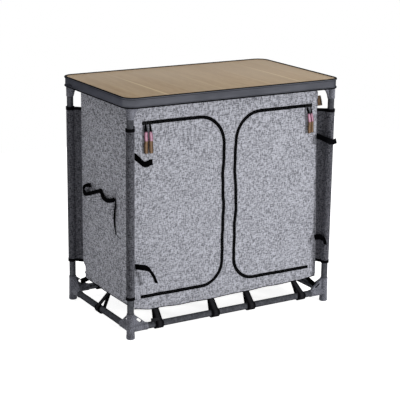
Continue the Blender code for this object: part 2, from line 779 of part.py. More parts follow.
def leg_sleeves(fabric):
    """Four sleeves round the legs, each on a flap sewn into a corner seam of the cabinet."""
    bore = TUBE_RADIUS + SLEEVE_SLACK
    outer = bore + SLEEVE_WALL
    half = FLAP_THICKNESS / 2
    reach = math.hypot(CABINET_INSET, CABINET_INSET) - CLEARANCE
    lap = math.degrees(math.asin(half / outer))
    outline = arc((0, 0), outer, lap, 360 - lap, TUBE_SIDES) + [(reach, -half), (reach, half)]
    hole = circle((0, 0), bore, TUBE_SIDES)
    shape = slab(outline, SLEEVE_BOTTOM_Z, SLEEVE_TOP_Z, "Z", [hole])
    mesh = finish_mesh("leg_sleeve", shape)
    for corner, side_x, side_y, turn in CORNERS:
        place = (side_x * LEG_X, side_y * LEG_Y, 0)
        mesh_object(f"leg_sleeve_{corner}", mesh, fabric, place, math.radians(turn + 45))


def side_pocket(fabric):
    """A two-compartment bellows pocket: a cloth that stands out between three seams."""
    seat = CABINET_X + CLEARANCE
    bays = (
        (POCKET_FRONT_Y, POCKET_SEAM_Y, POCKET_WIDE_GAPE, POCKET_WIDE_STEPS),
        (POCKET_SEAM_Y, POCKET_REAR_Y, POCKET_NARROW_GAPE, POCKET_NARROW_STEPS),
    )
    columns = [(POCKET_FRONT_Y, 0.0, 0.0)]
    for start, end, gape, steps in bays:
        for step in range(1, steps + 1):
            swell = math.sin(math.pi * step / steps)
            columns.append((start + (end - start) * step / steps, gape * swell, POCKET_SAG * swell))
    shape = bmesh.new()
    faces = []
    for depth in (0, POCKET_CLOTH):
        grid = []
        for y, gape, sag in columns:
            column = []
            for row in range(POCKET_ROWS + 1):
                share = row / POCKET_ROWS
                bulge = POCKET_BELLY_SHARE * math.sin(math.pi * share) + (1 - POCKET_BELLY_SHARE) * share
                x = -(seat + depth + gape * bulge)
                z = POCKET_BOTTOM_Z + share * (POCKET_TOP_Z - sag - POCKET_BOTTOM_Z)
                column.append(shape.verts.new((x, y, z)))
            grid.append(column)
        faces.append(grid)
    inner, outer = faces
    last = len(columns) - 1
    for grid in faces:
        for step in range(last):
            for row in range(POCKET_ROWS):
                shape.faces.new((grid[step][row], grid[step + 1][row],
                                 grid[step + 1][row + 1], grid[step][row + 1]))
    for step in range(last):
        for row in (0, POCKET_ROWS):
            shape.faces.new((inner[step][row], inner[step + 1][row],
                             outer[step + 1][row], outer[step][row]))
    for row in range(POCKET_ROWS):
        for step in (0, last):
            shape.faces.new((inner[step][row], inner[step][row + 1],
                             outer[step][row + 1], outer[step][row]))
    return solid("side_pocket", shape, fabric)


def leather_tab(leather):
    """A plain flared leather tab in the front right corner seam."""
    root = CABINET_X + CLEARANCE
    outline = [
        (root, TAB_MIDDLE_Z - TAB_TOP_HEIGHT / 2),
        (root + TAB_WIDTH, TAB_MIDDLE_Z - TAB_BOTTOM_HEIGHT / 2),
        (root + TAB_WIDTH, TAB_MIDDLE_Z + TAB_BOTTOM_HEIGHT / 2),
        (root, TAB_MIDDLE_Z + TAB_TOP_HEIGHT / 2),
    ]
    low = FRONT_Y
    return solid("leather_tab", slab(outline, low, low + TAB_THICKNESS, "Y"), leather)


# Doors, zips and pulls


def slider_mesh(material):
    """A zip slider: front and back plates, the web between them and a bridge for the pull."""
    half_length = SLIDER_LENGTH / 2
    plate = [
        (-half_length, -SLIDER_TAIL_WIDTH / 2),
        (half_length, -SLIDER_FRONT_WIDTH / 2),
        (half_length, SLIDER_FRONT_WIDTH / 2),
        (-half_length, SLIDER_TAIL_WIDTH / 2),
    ]
    back_face = FRONT_Y + PANEL_THICKNESS + CLEARANCE
    front = slab(plate, SLIDER_FRONT_Y, SLIDER_FRONT_Y + SLIDER_PLATE, "Y")
    back = slab(plate, back_face, back_face + SLIDER_PLATE, "Y")
    strip = box_outline(-half_length / 2, half_length / 2, -SLIDER_WEB_HALF, SLIDER_WEB_HALF)
    web = slab(strip, SLIDER_FRONT_Y + SLIDER_PLATE / 2, back_face + SLIDER_PLATE / 2, "Y")
    half = BRIDGE_LENGTH / 2
    crown = PULL_AXIS_Y - BRIDGE_BAR / 2
    root = SLIDER_FRONT_Y + SLIDER_PLATE / 2
    arch = [
        (-half, root),
        (-half, PULL_AXIS_Y),
        (-half + BRIDGE_BAR / 2, crown),
        (half - BRIDGE_BAR / 2, crown),
        (half, PULL_AXIS_Y),
        (half, root),
        (half - BRIDGE_BAR, root),
        (half - BRIDGE_BAR, PULL_AXIS_Y + BRIDGE_BAR / 2),
        (-half + BRIDGE_BAR, PULL_AXIS_Y + BRIDGE_BAR / 2),
        (-half + BRIDGE_BAR, root),
    ]
    bridge = slab(arch, -BRIDGE_WIDTH / 2, BRIDGE_WIDTH / 2, "Z")
    return fuse("slider", front, [back, web, bridge], [])


def pull_mesh():
    """A pull: a cord through the bridge whose two ends run into the top of a leather tab."""
    gather = PULL_TAB_THICKNESS / 2
    root = -PULL_CORD_DROP - PULL_CORD_LAP
    points = [Vector((0, y, z)) for y, z in arc((0, 0), PULL_LOOP_RADIUS, 0, 180, PULL_LOOP_STEPS)]
    points += [
        Vector((0, -PULL_LOOP_RADIUS, -PULL_LOOP_RADIUS)),
        Vector((0, -gather, -PULL_CORD_DROP)),
        Vector((0, -gather, root)),
        Vector((0, gather, root)),
        Vector((0, gather, -PULL_CORD_DROP)),
        Vector((0, PULL_LOOP_RADIUS, -PULL_LOOP_RADIUS)),
    ]
    cord = closed_cord(points, PULL_CORD_RADIUS, PULL_CORD_SIDES)
    top = -PULL_CORD_DROP
    bottom = top - PULL_TAB_LENGTH
    half = PULL_TAB_WIDTH / 2
    corner = PULL_TAB_CORNER
    outline = [
        (-half, bottom + corner),
        (-half + corner, bottom),
        (half - corner, bottom),
        (half, bottom + corner),
        (half, top - corner),
        (half - corner, top),
        (-half + corner, top),
        (-half, top - corner),
    ]
    tab = slab(outline, -PULL_TAB_THICKNESS / 2, PULL_TAB_THICKNESS / 2, "Y")
    return fuse("pull", tab, [cord], [])


def doors(fabric, zip_cloth, metal, leather):
    """Both doors with their zip halves, their parked sliders and the pulls."""
    slider = slider_mesh(metal)
    pull = pull_mesh()
    back_face = FRONT_Y + PANEL_THICKNESS
    for label, side in (("left", LEFT), ("right", RIGHT)):
        axis = Vector((side * FOLD_X, TAPE_FRONT_Y, 0))
        hinge = empty(f"{label}_door_axis", axis)
        leaf = slab(zip_route(side, -EDGE_OFFSET, FOLD_X - CLEARANCE), FRONT_Y, back_face, "Y")
        solid(f"{label}_door", leaf, fabric, axis, hinge)
        tape = slab(door_tape_outline(side), TAPE_FRONT_Y, back_face, "Y")
        solid(f"{label}_zip_door_half", tape, zip_cloth, axis, hinge)
        tape = slab(frame_tape_outline(side), TAPE_FRONT_Y, back_face, "Y")
        solid(f"{label}_zip_frame_half", tape, zip_cloth)
        for name, distance, toward in (("outer", OUTER_SLIDER_X, -side), ("inner", INNER_SLIDER_X, side)):
            place = Vector((side * distance, 0, ZIP_TOP_Z))
            turn = 0.0 if toward > 0 else math.pi
            body = mesh_object(f"{label}_{name}_slider", slider, metal, place)
            body.rotation_euler = (0, turn, 0)
            swing = Vector((side * distance, PULL_AXIS_Y, ZIP_TOP_Z))
            mesh_object(f"{label}_{name}_pull", pull, leather, swing)


# Webbing


def teardrop(centre, radius, apex, spread):
    """A loop outline: round a rail's centre and drawn to a flat end at an apex."""
    reach = Vector((apex[0] - centre[0], apex[1] - centre[1]))
    heading = math.degrees(math.atan2(reach.y, reach.x))
    lean = math.degrees(math.acos((radius - spread) / reach.length))
    points = arc(centre, radius, heading + lean, heading + 360 - lean, STRAP_ARC_STEPS)
    cross = Vector((-reach.y, reach.x)).normalized() * spread
    points.append((apex[0] - cross.x, apex[1] - cross.y))
    points.append((apex[0] + cross.x, apex[1] + cross.y))
    return points


def loop_strap(centre, apex, middle, across, end_half):
    """A webbing loop from a cabinet edge round a rail, at one station along the rail.

    end_half is half the thickness of its sewn end."""
    reach = Vector((apex[0] - centre[0], apex[1] - centre[1]))
    short = Vector(centre) + reach * (1 - LOOP_SEAM / reach.length)
    inner = teardrop(centre, BORE_RADIUS, short, STRAP_THICKNESS / 4)
    outline = teardrop(centre, BORE_RADIUS + STRAP_THICKNESS, apex, end_half)
    low = middle - STRAP_WIDTH / 2
    return slab(outline, low, low + STRAP_WIDTH, across, [inner])


def front_straps(webbing):
    """Four webbing loops from the front hem round the front bottom rail."""
    centre = (-LEG_Y, BOTTOM_RAIL_Z)
    apex = (FRONT_Y + PANEL_THICKNESS / 2, HEM_Z - CLEARANCE - STRAP_THICKNESS)
    for number, middle in enumerate(HEM_LOOP_STATIONS, start=1):
        loop = loop_strap(centre, apex, middle, "X", STRAP_THICKNESS)
        solid(f"front_strap_{number}", loop, webbing)


def tie_backs(webbing):
    """Four webbing tails at the front corner seams, which hold the rolled doors."""
    rows = (
        ("left_upper", LEFT, UPPER_TIE_Z, LEFT_TIE_SHARES, LEFT_TIE_DRIFT, UPPER_TIE_DROP),
        ("left_lower", LEFT, LOWER_TIE_Z, LEFT_LOWER_TIE_SHARES, LEFT_TIE_DRIFT, LOWER_TIE_DROP),
        ("right_upper", RIGHT, UPPER_TIE_Z, RIGHT_TIE_SHARES, RIGHT_TIE_DRIFT, UPPER_TIE_DROP),
        ("right_lower", RIGHT, LOWER_TIE_Z, RIGHT_TIE_SHARES, RIGHT_TIE_DRIFT, LOWER_TIE_DROP),
    )
    for name, side, height, shares, drift, drop in rows:
        start_x = side * (CABINET_X - TIE_INSET)
        start_y = FRONT_Y - CLEARANCE
        route = []
        for out, along, down in shares:
            route.append((start_x + drift * along, start_y - TIE_REACH * out, height - drop * down))
        solid(f"tie_back_{name}", ribbon(route, TIE_WIDTH, STRAP_THICKNESS), webbing)


def corner_straps(webbing):
    """Two webbing stays from under the floor to the webs of diagonal corner connectors."""
    for label, side_x, side_y in (("front_right", 1, -1), ("rear_left", -1, 1)):
        start = Vector((side_x * (INNER_X - CORNER_STRAP_INSET_X),
                        side_y * (INNER_Y - CORNER_STRAP_INSET_Y),
                        FLOOR_Z - CLEARANCE - CORNER_STRAP_WIDTH / 2))
        end = Vector((side_x * (LEG_X - CORNER_STRAP_END_X),
                      side_y * (LEG_Y - GUSSET_THICKNESS / 2 - STRAP_THICKNESS / 2 - CLEARANCE),
                      BOTTOM_RAIL_Z + CORNER_STRAP_END_RISE))
        along = Vector((side_x * CORNER_STRAP_LAP, 0, 0))
        route = [start, end - along, end]
        solid(f"corner_strap_{label}", ribbon(route, CORNER_STRAP_WIDTH, STRAP_THICKNESS), webbing)


def clear_scene():
    """Start from an empty scene."""
    for item in list(bpy.data.objects):
        bpy.data.objects.remove(item)


def main():
    clear_scene()
    tube_paint = make_material("tube_paint", (0.080, 0.083, 0.090), 0.42, 0.55)
    connector_plastic = make_material("connector_plastic", (0.085, 0.088, 0.100), 0.50)
    rim_aluminium = make_material("rim_aluminium", (0.075, 0.080, 0.092), 0.38, 0.60)
    wood_face = make_material("wood_face", (0.420, 0.315, 0.215), 0.45)
    grey_melange = make_material("grey_melange", (0.330, 0.335, 0.360), 0.90)
    dark_melange = make_material("dark_melange", (0.060, 0.061, 0.066), 0.90)
    shelf_board = make_material("shelf_board", (0.240, 0.240, 0.250), 0.80)
    zip_cloth = make_material("zip_cloth", (0.012, 0.012, 0.014), 0.60)
    slider_metal = make_material("slider_metal", (0.020, 0.020, 0.022), 0.35, 0.80)
    pull_leather = make_material("pull_leather", (0.230, 0.110, 0.050), 0.60)
    black_webbing = make_material("black_webbing", (0.013, 0.013, 0.015), 0.80)

    worktop_rim(rim_aluminium)
    worktop_board(wood_face)
    connectors(connector_plastic)
    legs_and_rails(tube_paint)
    cabinet_panels(grey_melange)
    cabinet_inside(grey_melange, shelf_board)
    leg_sleeves(dark_melange)
    side_pocket(grey_melange)
    leather_tab(pull_leather)
    doors(grey_melange, zip_cloth, slider_metal, pull_leather)
    front_straps(black_webbing)
    corner_straps(black_webbing)
    tie_backs(black_webbing)


main()
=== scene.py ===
"""Camping cupboard, dressed over its CAD frame: cloth cabinet, zips, webbing, frame and
worktop, with procedural materials, a camera at the photograph's angle and soft light."""

import math

import bmesh
import bpy
from mathutils import Matrix, Vector, noise


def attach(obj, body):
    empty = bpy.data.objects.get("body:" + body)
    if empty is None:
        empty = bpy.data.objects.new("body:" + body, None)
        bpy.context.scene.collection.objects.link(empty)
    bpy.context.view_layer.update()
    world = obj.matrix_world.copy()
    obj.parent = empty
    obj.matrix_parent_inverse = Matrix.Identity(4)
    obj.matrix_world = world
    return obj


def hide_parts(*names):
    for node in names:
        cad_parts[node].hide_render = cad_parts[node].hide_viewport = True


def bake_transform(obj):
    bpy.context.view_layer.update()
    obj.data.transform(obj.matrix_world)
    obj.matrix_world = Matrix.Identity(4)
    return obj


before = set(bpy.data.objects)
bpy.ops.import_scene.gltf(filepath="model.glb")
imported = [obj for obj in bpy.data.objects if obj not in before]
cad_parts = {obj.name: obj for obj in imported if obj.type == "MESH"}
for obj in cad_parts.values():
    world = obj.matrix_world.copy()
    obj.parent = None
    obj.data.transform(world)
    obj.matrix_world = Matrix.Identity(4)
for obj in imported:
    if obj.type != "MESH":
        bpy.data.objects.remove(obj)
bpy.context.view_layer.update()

# Sizes carried over from the part's source, in metres
HALF_WIDTH, HALF_DEPTH, HEIGHT = 0.410, 0.245, 0.800
RIM_HEIGHT, RIM_CORNER = 0.035, 0.042
BOARD_TOP, BOARD_BOTTOM = 0.799, 0.791
LEG_X, LEG_Y = 0.386, 0.220
TUBE_RADIUS, TUBE_WALL = 0.0110, 0.0012
BORE_RADIUS, SOCKET_RADIUS = 0.0113, 0.0135
BOTTOM_RAIL, TOP_RAIL = 0.035, 0.7751
CONNECTOR_REACH, CONNECTOR_HEART = 0.060, 0.015
SLOT_LENGTH, SLOT_WIDTH, SLOT_RIB = 0.023, 0.0075, 0.0028
FOOT_HEIGHT, FOOT_RADIUS, FOOT_EASE = 0.013, 0.0142, 0.0018
CLEARANCE = 0.0003
CABINET_X, CABINET_Y = 0.3575, 0.1915
INNER_X, INNER_Y = 0.3545, 0.1885
HEM, CABINET_TOP = 0.086, 0.772
TOP_CUT_X, TOP_CUT_Z, HEM_CUT_X, HEM_CUT_Z = 0.014, 0.022, 0.008, 0.014
FLOOR_BOTTOM, FLOOR_TOP = 0.100, 0.106
SHELF_TOP, SHELF_BOTTOM = 0.43315, 0.42715
SLEEVE_BOTTOM, SLEEVE_TOP = 0.143, 0.692
ZIP_TOP, ZIP_BOTTOM, ZIP_INNER, ZIP_END = 0.706, 0.133, 0.0235, 0.328
TOP_ARC, BOTTOM_ARC = 0.095, 0.080
TAPE_EDGE, SLIT, OPENING = 0.0057, 0.0007, 0.0053
FOLD_IN, FOLD_OUT = 0.284, 0.296
OUTER_SLIDER, INNER_SLIDER = 0.3190, 0.3035
PULL_AXIS_Y = -0.1975
CLOTH = 0.0012
STRAP_THICK = 0.0017
LOOP_STATIONS = (-0.280, -0.070, 0.070, 0.280)
SIDES = (("left", -1), ("right", 1))
ENDS = (("front", -1), ("rear", 1))
CORNERS = (
    ("front_left", -1, -1, 0),
    ("front_right", 1, -1, 90),
    ("rear_right", 1, 1, 180),
    ("rear_left", -1, 1, 270),
)
OUT_FRONT = Vector((0, -1, 0))
UPRIGHT = Vector((0, 0, 1))


# Material wiring


class Nodes:
    """Short words for wiring one node tree."""

    def __init__(self, tree):
        self.tree = tree

    def put(self, socket, value):
        if isinstance(value, bpy.types.NodeSocket):
            self.tree.links.new(value, socket)
        else:
            socket.default_value = value

    def add(self, kind, inputs=(), output=0, **settings):
        """Add a node with its settings and its inputs, by name or number, and give an output."""
        node = self.tree.nodes.new(kind)
        for key, value in settings.items():
            setattr(node, key, value)
        for key, value in dict(inputs).items():
            self.put(node.inputs[key], value)
        return node.outputs[output]

    def math(self, operation, *values):
        return self.add("ShaderNodeMath", enumerate(values), operation=operation)

    def times(self, first, second):
        return self.math("MULTIPLY", first, second)

    def plus(self, first, second):
        return self.math("ADD", first, second)

    def join(self, x, y, z):
        return self.add("ShaderNodeCombineXYZ", enumerate((x, y, z)))

    def mixed_shader(self, factor, first, second):
        return self.add("ShaderNodeMixShader", enumerate((factor, first, second)))

    def seen_directly(self):
        """1 for rays from the camera, off gloss and through glass, and 0 for all others."""
        rays = self.add("ShaderNodeLightPath").node.outputs
        either = self.math("MAXIMUM", rays["Is Camera Ray"], rays["Is Glossy Ray"])
        return self.math("MAXIMUM", either, rays["Is Transmission Ray"])


class Wiring(Nodes):
    """One material, its shader and the textures that feed it."""

    def __init__(self, name, rough, metallic=0.0, specular=0.5, tint=1.0):
        self.material = bpy.data.materials.new(name)
        self.material.use_nodes = True
        super().__init__(self.material.node_tree)
        self.shader = self.tree.nodes["Principled BSDF"]
        self.sockets = self.shader.inputs
        self.sockets["Roughness"].default_value = rough
        self.sockets["Metallic"].default_value = metallic
        self.sockets["Specular IOR Level"].default_value = specular
        self.sockets["Specular Tint"].default_value = (tint, tint, tint, 1.0)
        self.places = {}

    def place(self, kind="Object"):
        if kind not in self.places:
            self.places[kind] = self.add("ShaderNodeTexCoord", output=kind)
        return self.places[kind]

    def axes(self, kind="Object"):
        return self.add("ShaderNodeSeparateXYZ", {0: self.place(kind)}).node.outputs

    def stretched(self, *rates):
        return self.join(*(self.times(axis, rate) for axis, rate in zip(self.axes(), rates)))

    def noise(self, vector, scale=1.0, detail=2.0, rough=0.5):
        inputs = {"Vector": vector, "Scale": scale, "Detail": detail, "Roughness": rough}
        return self.add("ShaderNodeTexNoise", inputs, "Fac")

    def cells(self, vector, scale):
        return self.add("ShaderNodeTexVoronoi", {"Vector": vector, "Scale": scale}, "Distance")

    def remap(self, value, low, high, to_low=0.0, to_high=1.0):
        inputs = enumerate((value, low, high, to_low, to_high))
        return self.add("ShaderNodeMapRange", inputs, interpolation_type="SMOOTHSTEP")

    def blend(self, factor, *colours):
        inputs = {0: factor}
        for socket, colour in zip((6, 7), colours):
            inputs[socket] = (*colour, 1.0) if isinstance(colour, tuple) else colour
        return self.add("ShaderNodeMix", inputs, 2, data_type="RGBA")

    def ripple(self, value, pitch):
        return self.math("SINE", self.times(value, 2 * math.pi / pitch))

    def finish(self, colour, rough=None, height=None, depth=0.0002, strength=0.6):
        self.put(self.sockets["Base Color"], colour)
        if rough is not None:
            self.put(self.sockets["Roughness"], rough)
        if height is not None:
            inputs = {"Strength": strength, "Distance": depth, "Height": height}
            self.put(self.sockets["Normal"], self.add("ShaderNodeBump", inputs))
        return self.material


# Materials


def melange(name, dark, pale, low=0.40, high=0.60, flat=False, fine=1.0):
    """Heather cloth: darker and paler threads both ways, flecks, and a plain weave."""
    weave_pitch = 0.0011
    w = Wiring(name, 0.95, specular=0.15)
    x, y, z = w.axes()
    along, across = (x, y) if flat else (w.plus(x, w.times(y, 0.60)), z)
    threads = []
    for level, upright in ((82, 445), (400, 72)):
        rates = (level, upright, level) if flat else (level, level, upright)
        streaks = w.noise(w.stretched(*(rate * fine for rate in rates)), detail=1.0)
        threads.append(w.remap(streaks, 0.40, 0.60))
    tone = w.math("MULTIPLY_ADD", w.plus(*threads), 0.105, 0.218)
    tone = w.math("MULTIPLY_ADD", w.noise(w.place(), 280 * fine, 3.0, 0.7), 0.32, tone)
    tone = w.math("MULTIPLY_ADD", w.noise(w.place(), 14), 0.03, tone)
    colour = w.blend(w.remap(tone, low, high), dark, pale)
    weave = w.times(w.ripple(along, weave_pitch), w.ripple(across, weave_pitch))
    height = w.plus(w.times(weave, 0.35), w.times(tone, 1.6))
    return w.finish(colour, height=height, depth=0.00025, strength=0.5)


def webbing(name, wear_and_sheen=0.0):
    """Black webbing with cross ribs, laid by the band's UVs, which are in metres. wear_and_sheen
    is how far the middle of the band is painted paler: a painted sheen along the band."""
    rib_pitch = 0.0019
    w = Wiring(name, 0.85, specular=0.0)
    across, along, _ = w.axes("UV")
    ribs = w.ripple(along, rib_pitch)
    grain = w.noise(w.place(), 900)
    tone = w.plus(w.times(ribs, 0.25), grain)
    colour = w.blend(w.remap(tone, 0.2, 1.0), (0.0016, 0.0016, 0.0020), (0.0095, 0.0095, 0.0112))
    if wear_and_sheen:
        # painted sheen: the middle of the band is painted paler, a highlight along it
        middle = w.remap(w.math("ABSOLUTE", across), 0.002, 0.011, wear_and_sheen, 0.0)
        painted_sheen = w.times(middle, w.remap(tone, 0.2, 0.9, 0.5, 1.0))
        colour = w.blend(painted_sheen, colour, (0.045, 0.045, 0.050))
    return w.finish(colour, height=w.plus(ribs, grain), depth=0.00025, strength=0.7)


def zip_cloth(name):
    """Zip tape: a fine herringbone, dull and near black."""
    w = Wiring(name, 0.80, specular=0.03)
    x, y, z = w.axes()
    slant = w.plus(w.plus(x, y), w.math("PINGPONG", z, 0.0016))
    grain = w.noise(w.place(), 1200)
    colour = w.blend(w.remap(grain, 0.3, 0.7), (0.0008, 0.0008, 0.0011), (0.0026, 0.0026, 0.0034))
    return w.finish(colour, height=w.plus(w.ripple(slant, 0.0012), grain), depth=0.00012, strength=0.5)


def leather(name, dark, pale, wear_and_sheen):
    """Grained leather: pebbles, soft clouds of colour, paler places of wear, a painted highlight
    down the middle, and darker along the edges, which the piece's UVs place at -1 and 1."""
    w = Wiring(name, 0.50, specular=0.2)
    beside = w.math("ABSOLUTE", w.axes("UV")[0])
    cloud = w.noise(w.place(), 130, 3.0, 0.6)
    streak = w.noise(w.stretched(500, 500, 60))
    colour = w.blend(w.remap(cloud, 0.3, 0.7), dark, pale)
    colour = w.blend(w.remap(streak, 0.56, 0.72, 0.0, 0.55), colour, wear_and_sheen)
    # painted highlight: paler towards the middle of the strip
    colour = w.blend(w.remap(beside, 0.05, 0.60, 0.40, 0.0), colour, wear_and_sheen)
    edge = tuple(part * 0.30 for part in dark)
    colour = w.blend(w.remap(beside, 0.45, 1.0, 0.0, 0.80), colour, edge)
    rough = w.remap(cloud, 0.3, 0.7, 0.42, 0.62)
    return w.finish(colour, rough, w.cells(w.place(), 1100), depth=0.0003)


def moulded(name, dark, pale, specular=0.20, speckle=0.0):
    """Moulded plastic: a fine spark-eroded texture with faint flow marks and, by speckle, flecks."""
    w = Wiring(name, 0.50, specular=specular)
    grain = w.noise(w.place(), 1500, rough=0.6)
    tone = w.noise(w.stretched(40, 40, 22))
    if speckle:
        flecks = w.noise(w.place(), 330, rough=0.6)
        tone = w.plus(w.times(tone, 1.0 - speckle), w.times(flecks, speckle))
    colour = w.blend(w.remap(tone, 0.3, 0.7), dark, pale)
    return w.finish(colour, w.remap(grain, 0.3, 0.7, 0.44, 0.60), grain, depth=0.00012, strength=0.5)


def powder_coat(name, dark, pale):
    """Powder coat on tube: orange peel, a satin gloss and small patches of wear."""
    w = Wiring(name, 0.40, metallic=0.40, specular=0.0, tint=0.0)
    peel = w.noise(w.place(), 1700)
    rub = w.noise(w.place(), 110, 4.0, 0.7)
    colour = w.blend(w.remap(rub, 0.35, 0.75), dark, pale)
    return w.finish(colour, w.remap(rub, 0.3, 0.7, 0.36, 0.50), peel, depth=0.00008, strength=0.4)


def rim_metal(name):
    """Satin rim: drawn lines along the section and soft clouds of tone."""
    w = Wiring(name, 0.42, metallic=0.70, specular=0.0, tint=0.0)
    drawn = w.noise(w.stretched(14, 14, 1600))
    wide = w.noise(w.stretched(9, 9, 30), detail=3.0)
    colour = w.blend(w.remap(wide, 0.3, 0.7), (0.086, 0.089, 0.104), (0.118, 0.122, 0.142))
    return w.finish(colour, w.remap(drawn, 0.3, 0.7, 0.32, 0.44), drawn, depth=0.00004, strength=0.4)


# Where the board's planks meet, from left to right, and how far each seam shows
PLANK_SEAMS = ((-0.338, 0.15), (-0.254, 1.0), (-0.160, 0.1), (-0.045, 0.30), (0.045, 0.1),
               (0.140, 0.2), (0.255, 0.75), (0.330, 0.1))


def wood(name):
    """A pale wood face in planks that run front to back, with glued seams and fine grain."""
    w = Wiring(name, 0.46, specular=0.05)
    x, y, _ = w.axes()
    plank = line = 0.0
    for place, weight in PLANK_SEAMS:
        plank = w.plus(plank, w.math("GREATER_THAN", x, place))
        near = w.math("ABSOLUTE", w.math("SUBTRACT", x, place))
        line = w.plus(line, w.remap(near, 0.0016, 0.0062, weight, 0.0))
    shift = w.times(plank, 3.17)
    at = w.plus(x, w.times(w.noise(w.stretched(5, 2.2, 1)), 0.06))
    fine = w.noise(w.join(w.times(at, 300), w.times(y, 8), shift), 1.0, 3.0, 0.6)
    broad = w.noise(w.join(w.times(at, 38), w.times(y, 2.2), shift), 1.0, 3.0, 0.55)
    fleck = w.noise(w.stretched(120, 26, 1), 1.0, 3.0, 0.6)
    tone = w.plus(w.times(fine, 0.28), w.times(broad, 0.40))
    tone = w.plus(tone, w.times(fleck, 0.32))
    colour = w.blend(w.remap(tone, 0.36, 0.64), (0.318, 0.222, 0.130), (0.412, 0.306, 0.198))
    tint = w.times(w.math("FRACT", w.times(plank, 0.618)), 0.30)
    colour = w.blend(tint, colour, (0.400, 0.318, 0.222))
    line = w.times(line, w.remap(y, -0.08, 0.17, 0.70, 0.16))
    colour = w.blend(line, colour, (0.600, 0.480, 0.300))
    return w.finish(colour, w.remap(tone, 0.3, 0.7, 0.40, 0.52), fine, depth=0.00006, strength=0.35)


def thread(name, colour):
    """Sewing thread: a fine twist."""
    w = Wiring(name, 0.7)
    w.sockets["Sheen Weight"].default_value = 0.1
    twist = w.noise(w.place(), 2500, 1.0)
    darker = tuple(part * 0.7 for part in colour)
    return w.finish(w.blend(w.remap(twist, 0.3, 0.7), darker, colour), height=twist, depth=0.0001)


LIGHT_CLOTH = melange("light_melange", (0.172, 0.175, 0.197), (0.560, 0.568, 0.632), 0.399, 0.581)
# Cloth for the back, sides, gussets and pocket: the front's cloth with a stronger speckle, painted shade and
# light of the weave as raking light shows it on the sides.
SIDE_CLOTH = melange("light_melange_sides", (0.142, 0.144, 0.162), (0.625, 0.632, 0.700), 0.425, 0.565)
DARK_CLOTH = melange("dark_melange", (0.028, 0.028, 0.034), (0.150, 0.152, 0.174), 0.400, 0.590, fine=1.25)
BOARD_CLOTH = melange("board_cloth", (0.120, 0.120, 0.130), (0.400, 0.405, 0.420), flat=True)
WEBBING = webbing("ribbed_webbing")
# The loops' webbing carries a painted sheen down the middle of the band.
LOOP_WEBBING = webbing("loop_webbing", wear_and_sheen=0.70)
ZIP_TAPE = zip_cloth("zip_tape")
TEETH = moulded("zip_teeth", (0.0015, 0.0015, 0.0018), (0.0040, 0.0040, 0.0050), 0.06)
SLIDER = moulded("slider_enamel", (0.0050, 0.0050, 0.0060), (0.0140, 0.0140, 0.0160), 0.25)
BROWN_LEATHER = leather("brown_leather", (0.062, 0.031, 0.016), (0.126, 0.068, 0.036), (0.50, 0.34, 0.21))
ROSE_LEATHER = leather("rose_leather", (0.330, 0.120, 0.200), (0.540, 0.260, 0.370), (0.82, 0.62, 0.72))
RAW_EDGE = leather("raw_leather_edge", (0.520, 0.320, 0.150), (0.640, 0.420, 0.220), (0.70, 0.50, 0.30))
PLASTIC = moulded("textured_plastic", (0.056, 0.058, 0.069), (0.306, 0.312, 0.360), 0.03, speckle=0.75)
COAT = powder_coat("powder_coat", (0.054, 0.056, 0.064), (0.114, 0.117, 0.131))
RIM = rim_metal("satin_rim")
# Dark trim on the rim's top and inner lip, and a painted shadow on its lower bead.
RIM_TRIM_AND_SHADE = moulded("rim_trim_and_painted_shade", (0.0050, 0.0050, 0.0060), (0.0110, 0.0110, 0.0130), 0.0)
WOOD = wood("plank_face")
GREY_THREAD = thread("grey_thread", (0.30, 0.30, 0.32))
DARK_THREAD = thread("dark_thread", (0.030, 0.030, 0.032))
TAN_THREAD = thread("tan_thread", (0.52, 0.36, 0.20))

# The record's slot for each material
SLOTS = {
    "grey_melange": (LIGHT_CLOTH, SIDE_CLOTH, GREY_THREAD, DARK_THREAD),
    "dark_melange": (DARK_CLOTH,),
    "shelf_board": (BOARD_CLOTH,),
    "black_webbing": (WEBBING, LOOP_WEBBING),
    "zip_cloth": (ZIP_TAPE, TEETH),
    "pull_leather": (BROWN_LEATHER, ROSE_LEATHER, TAN_THREAD),
    "connector_plastic": (PLASTIC,),
    "tube_paint": (COAT,),
    "rim_metal": (RIM,),
    "wood_face": (WOOD,),
}


# Mesh helpers


def mesh_from(name, points, faces, uvs=None, marks=None):
    """A mesh whose faces point out, with UVs given for each point and a material number given
    for each face."""
    mesh = bpy.data.meshes.new(name)
    mesh.from_pydata([tuple(point) for point in points], [], faces)
    if uvs:
        layer = mesh.uv_layers.new(name="UVMap")
        for loop in mesh.loops:
            layer.data[loop.index].uv = uvs[loop.vertex_index]
    if marks:
        mesh.polygons.foreach_set("material_index", marks)
    shape = bmesh.new()
    shape.from_mesh(mesh)
    bmesh.ops.recalc_face_normals(shape, faces=shape.faces)
    shape.to_mesh(mesh)
    shape.free()
    return mesh


def show(name, made, materials, body="root", stands_for=(), smooth=None):
    """Put a mesh, or its points and faces, into the scene on a body, and look up the slot of
    its first material, which must have one. It may stand for CAD nodes."""
    mesh = made if isinstance(made, bpy.types.Mesh) else mesh_from(name, *made)
    materials = materials if isinstance(materials, tuple) else (materials,)
    item = bpy.data.objects.new(name, mesh)
    bpy.context.scene.collection.objects.link(item)
    for material in materials:
        mesh.materials.append(material)
    if smooth is not None:
        mesh.shade_smooth()
        mesh.set_sharp_from_angle(angle=math.radians(smooth))
    if body:
        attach(item, body)
    if stands_for:
        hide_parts(*stands_for)
    next(slot for slot, members in SLOTS.items() if materials[0] in members)
    return item


def ease(item, width, segments, angle=30):
    """Round off a piece's edges that are sharper than an angle."""
    bevel = item.modifiers.new("ease", "BEVEL")
    bevel.width = width
    bevel.segments = segments
    bevel.limit_method = "ANGLE"
    bevel.angle_limit = math.radians(angle)


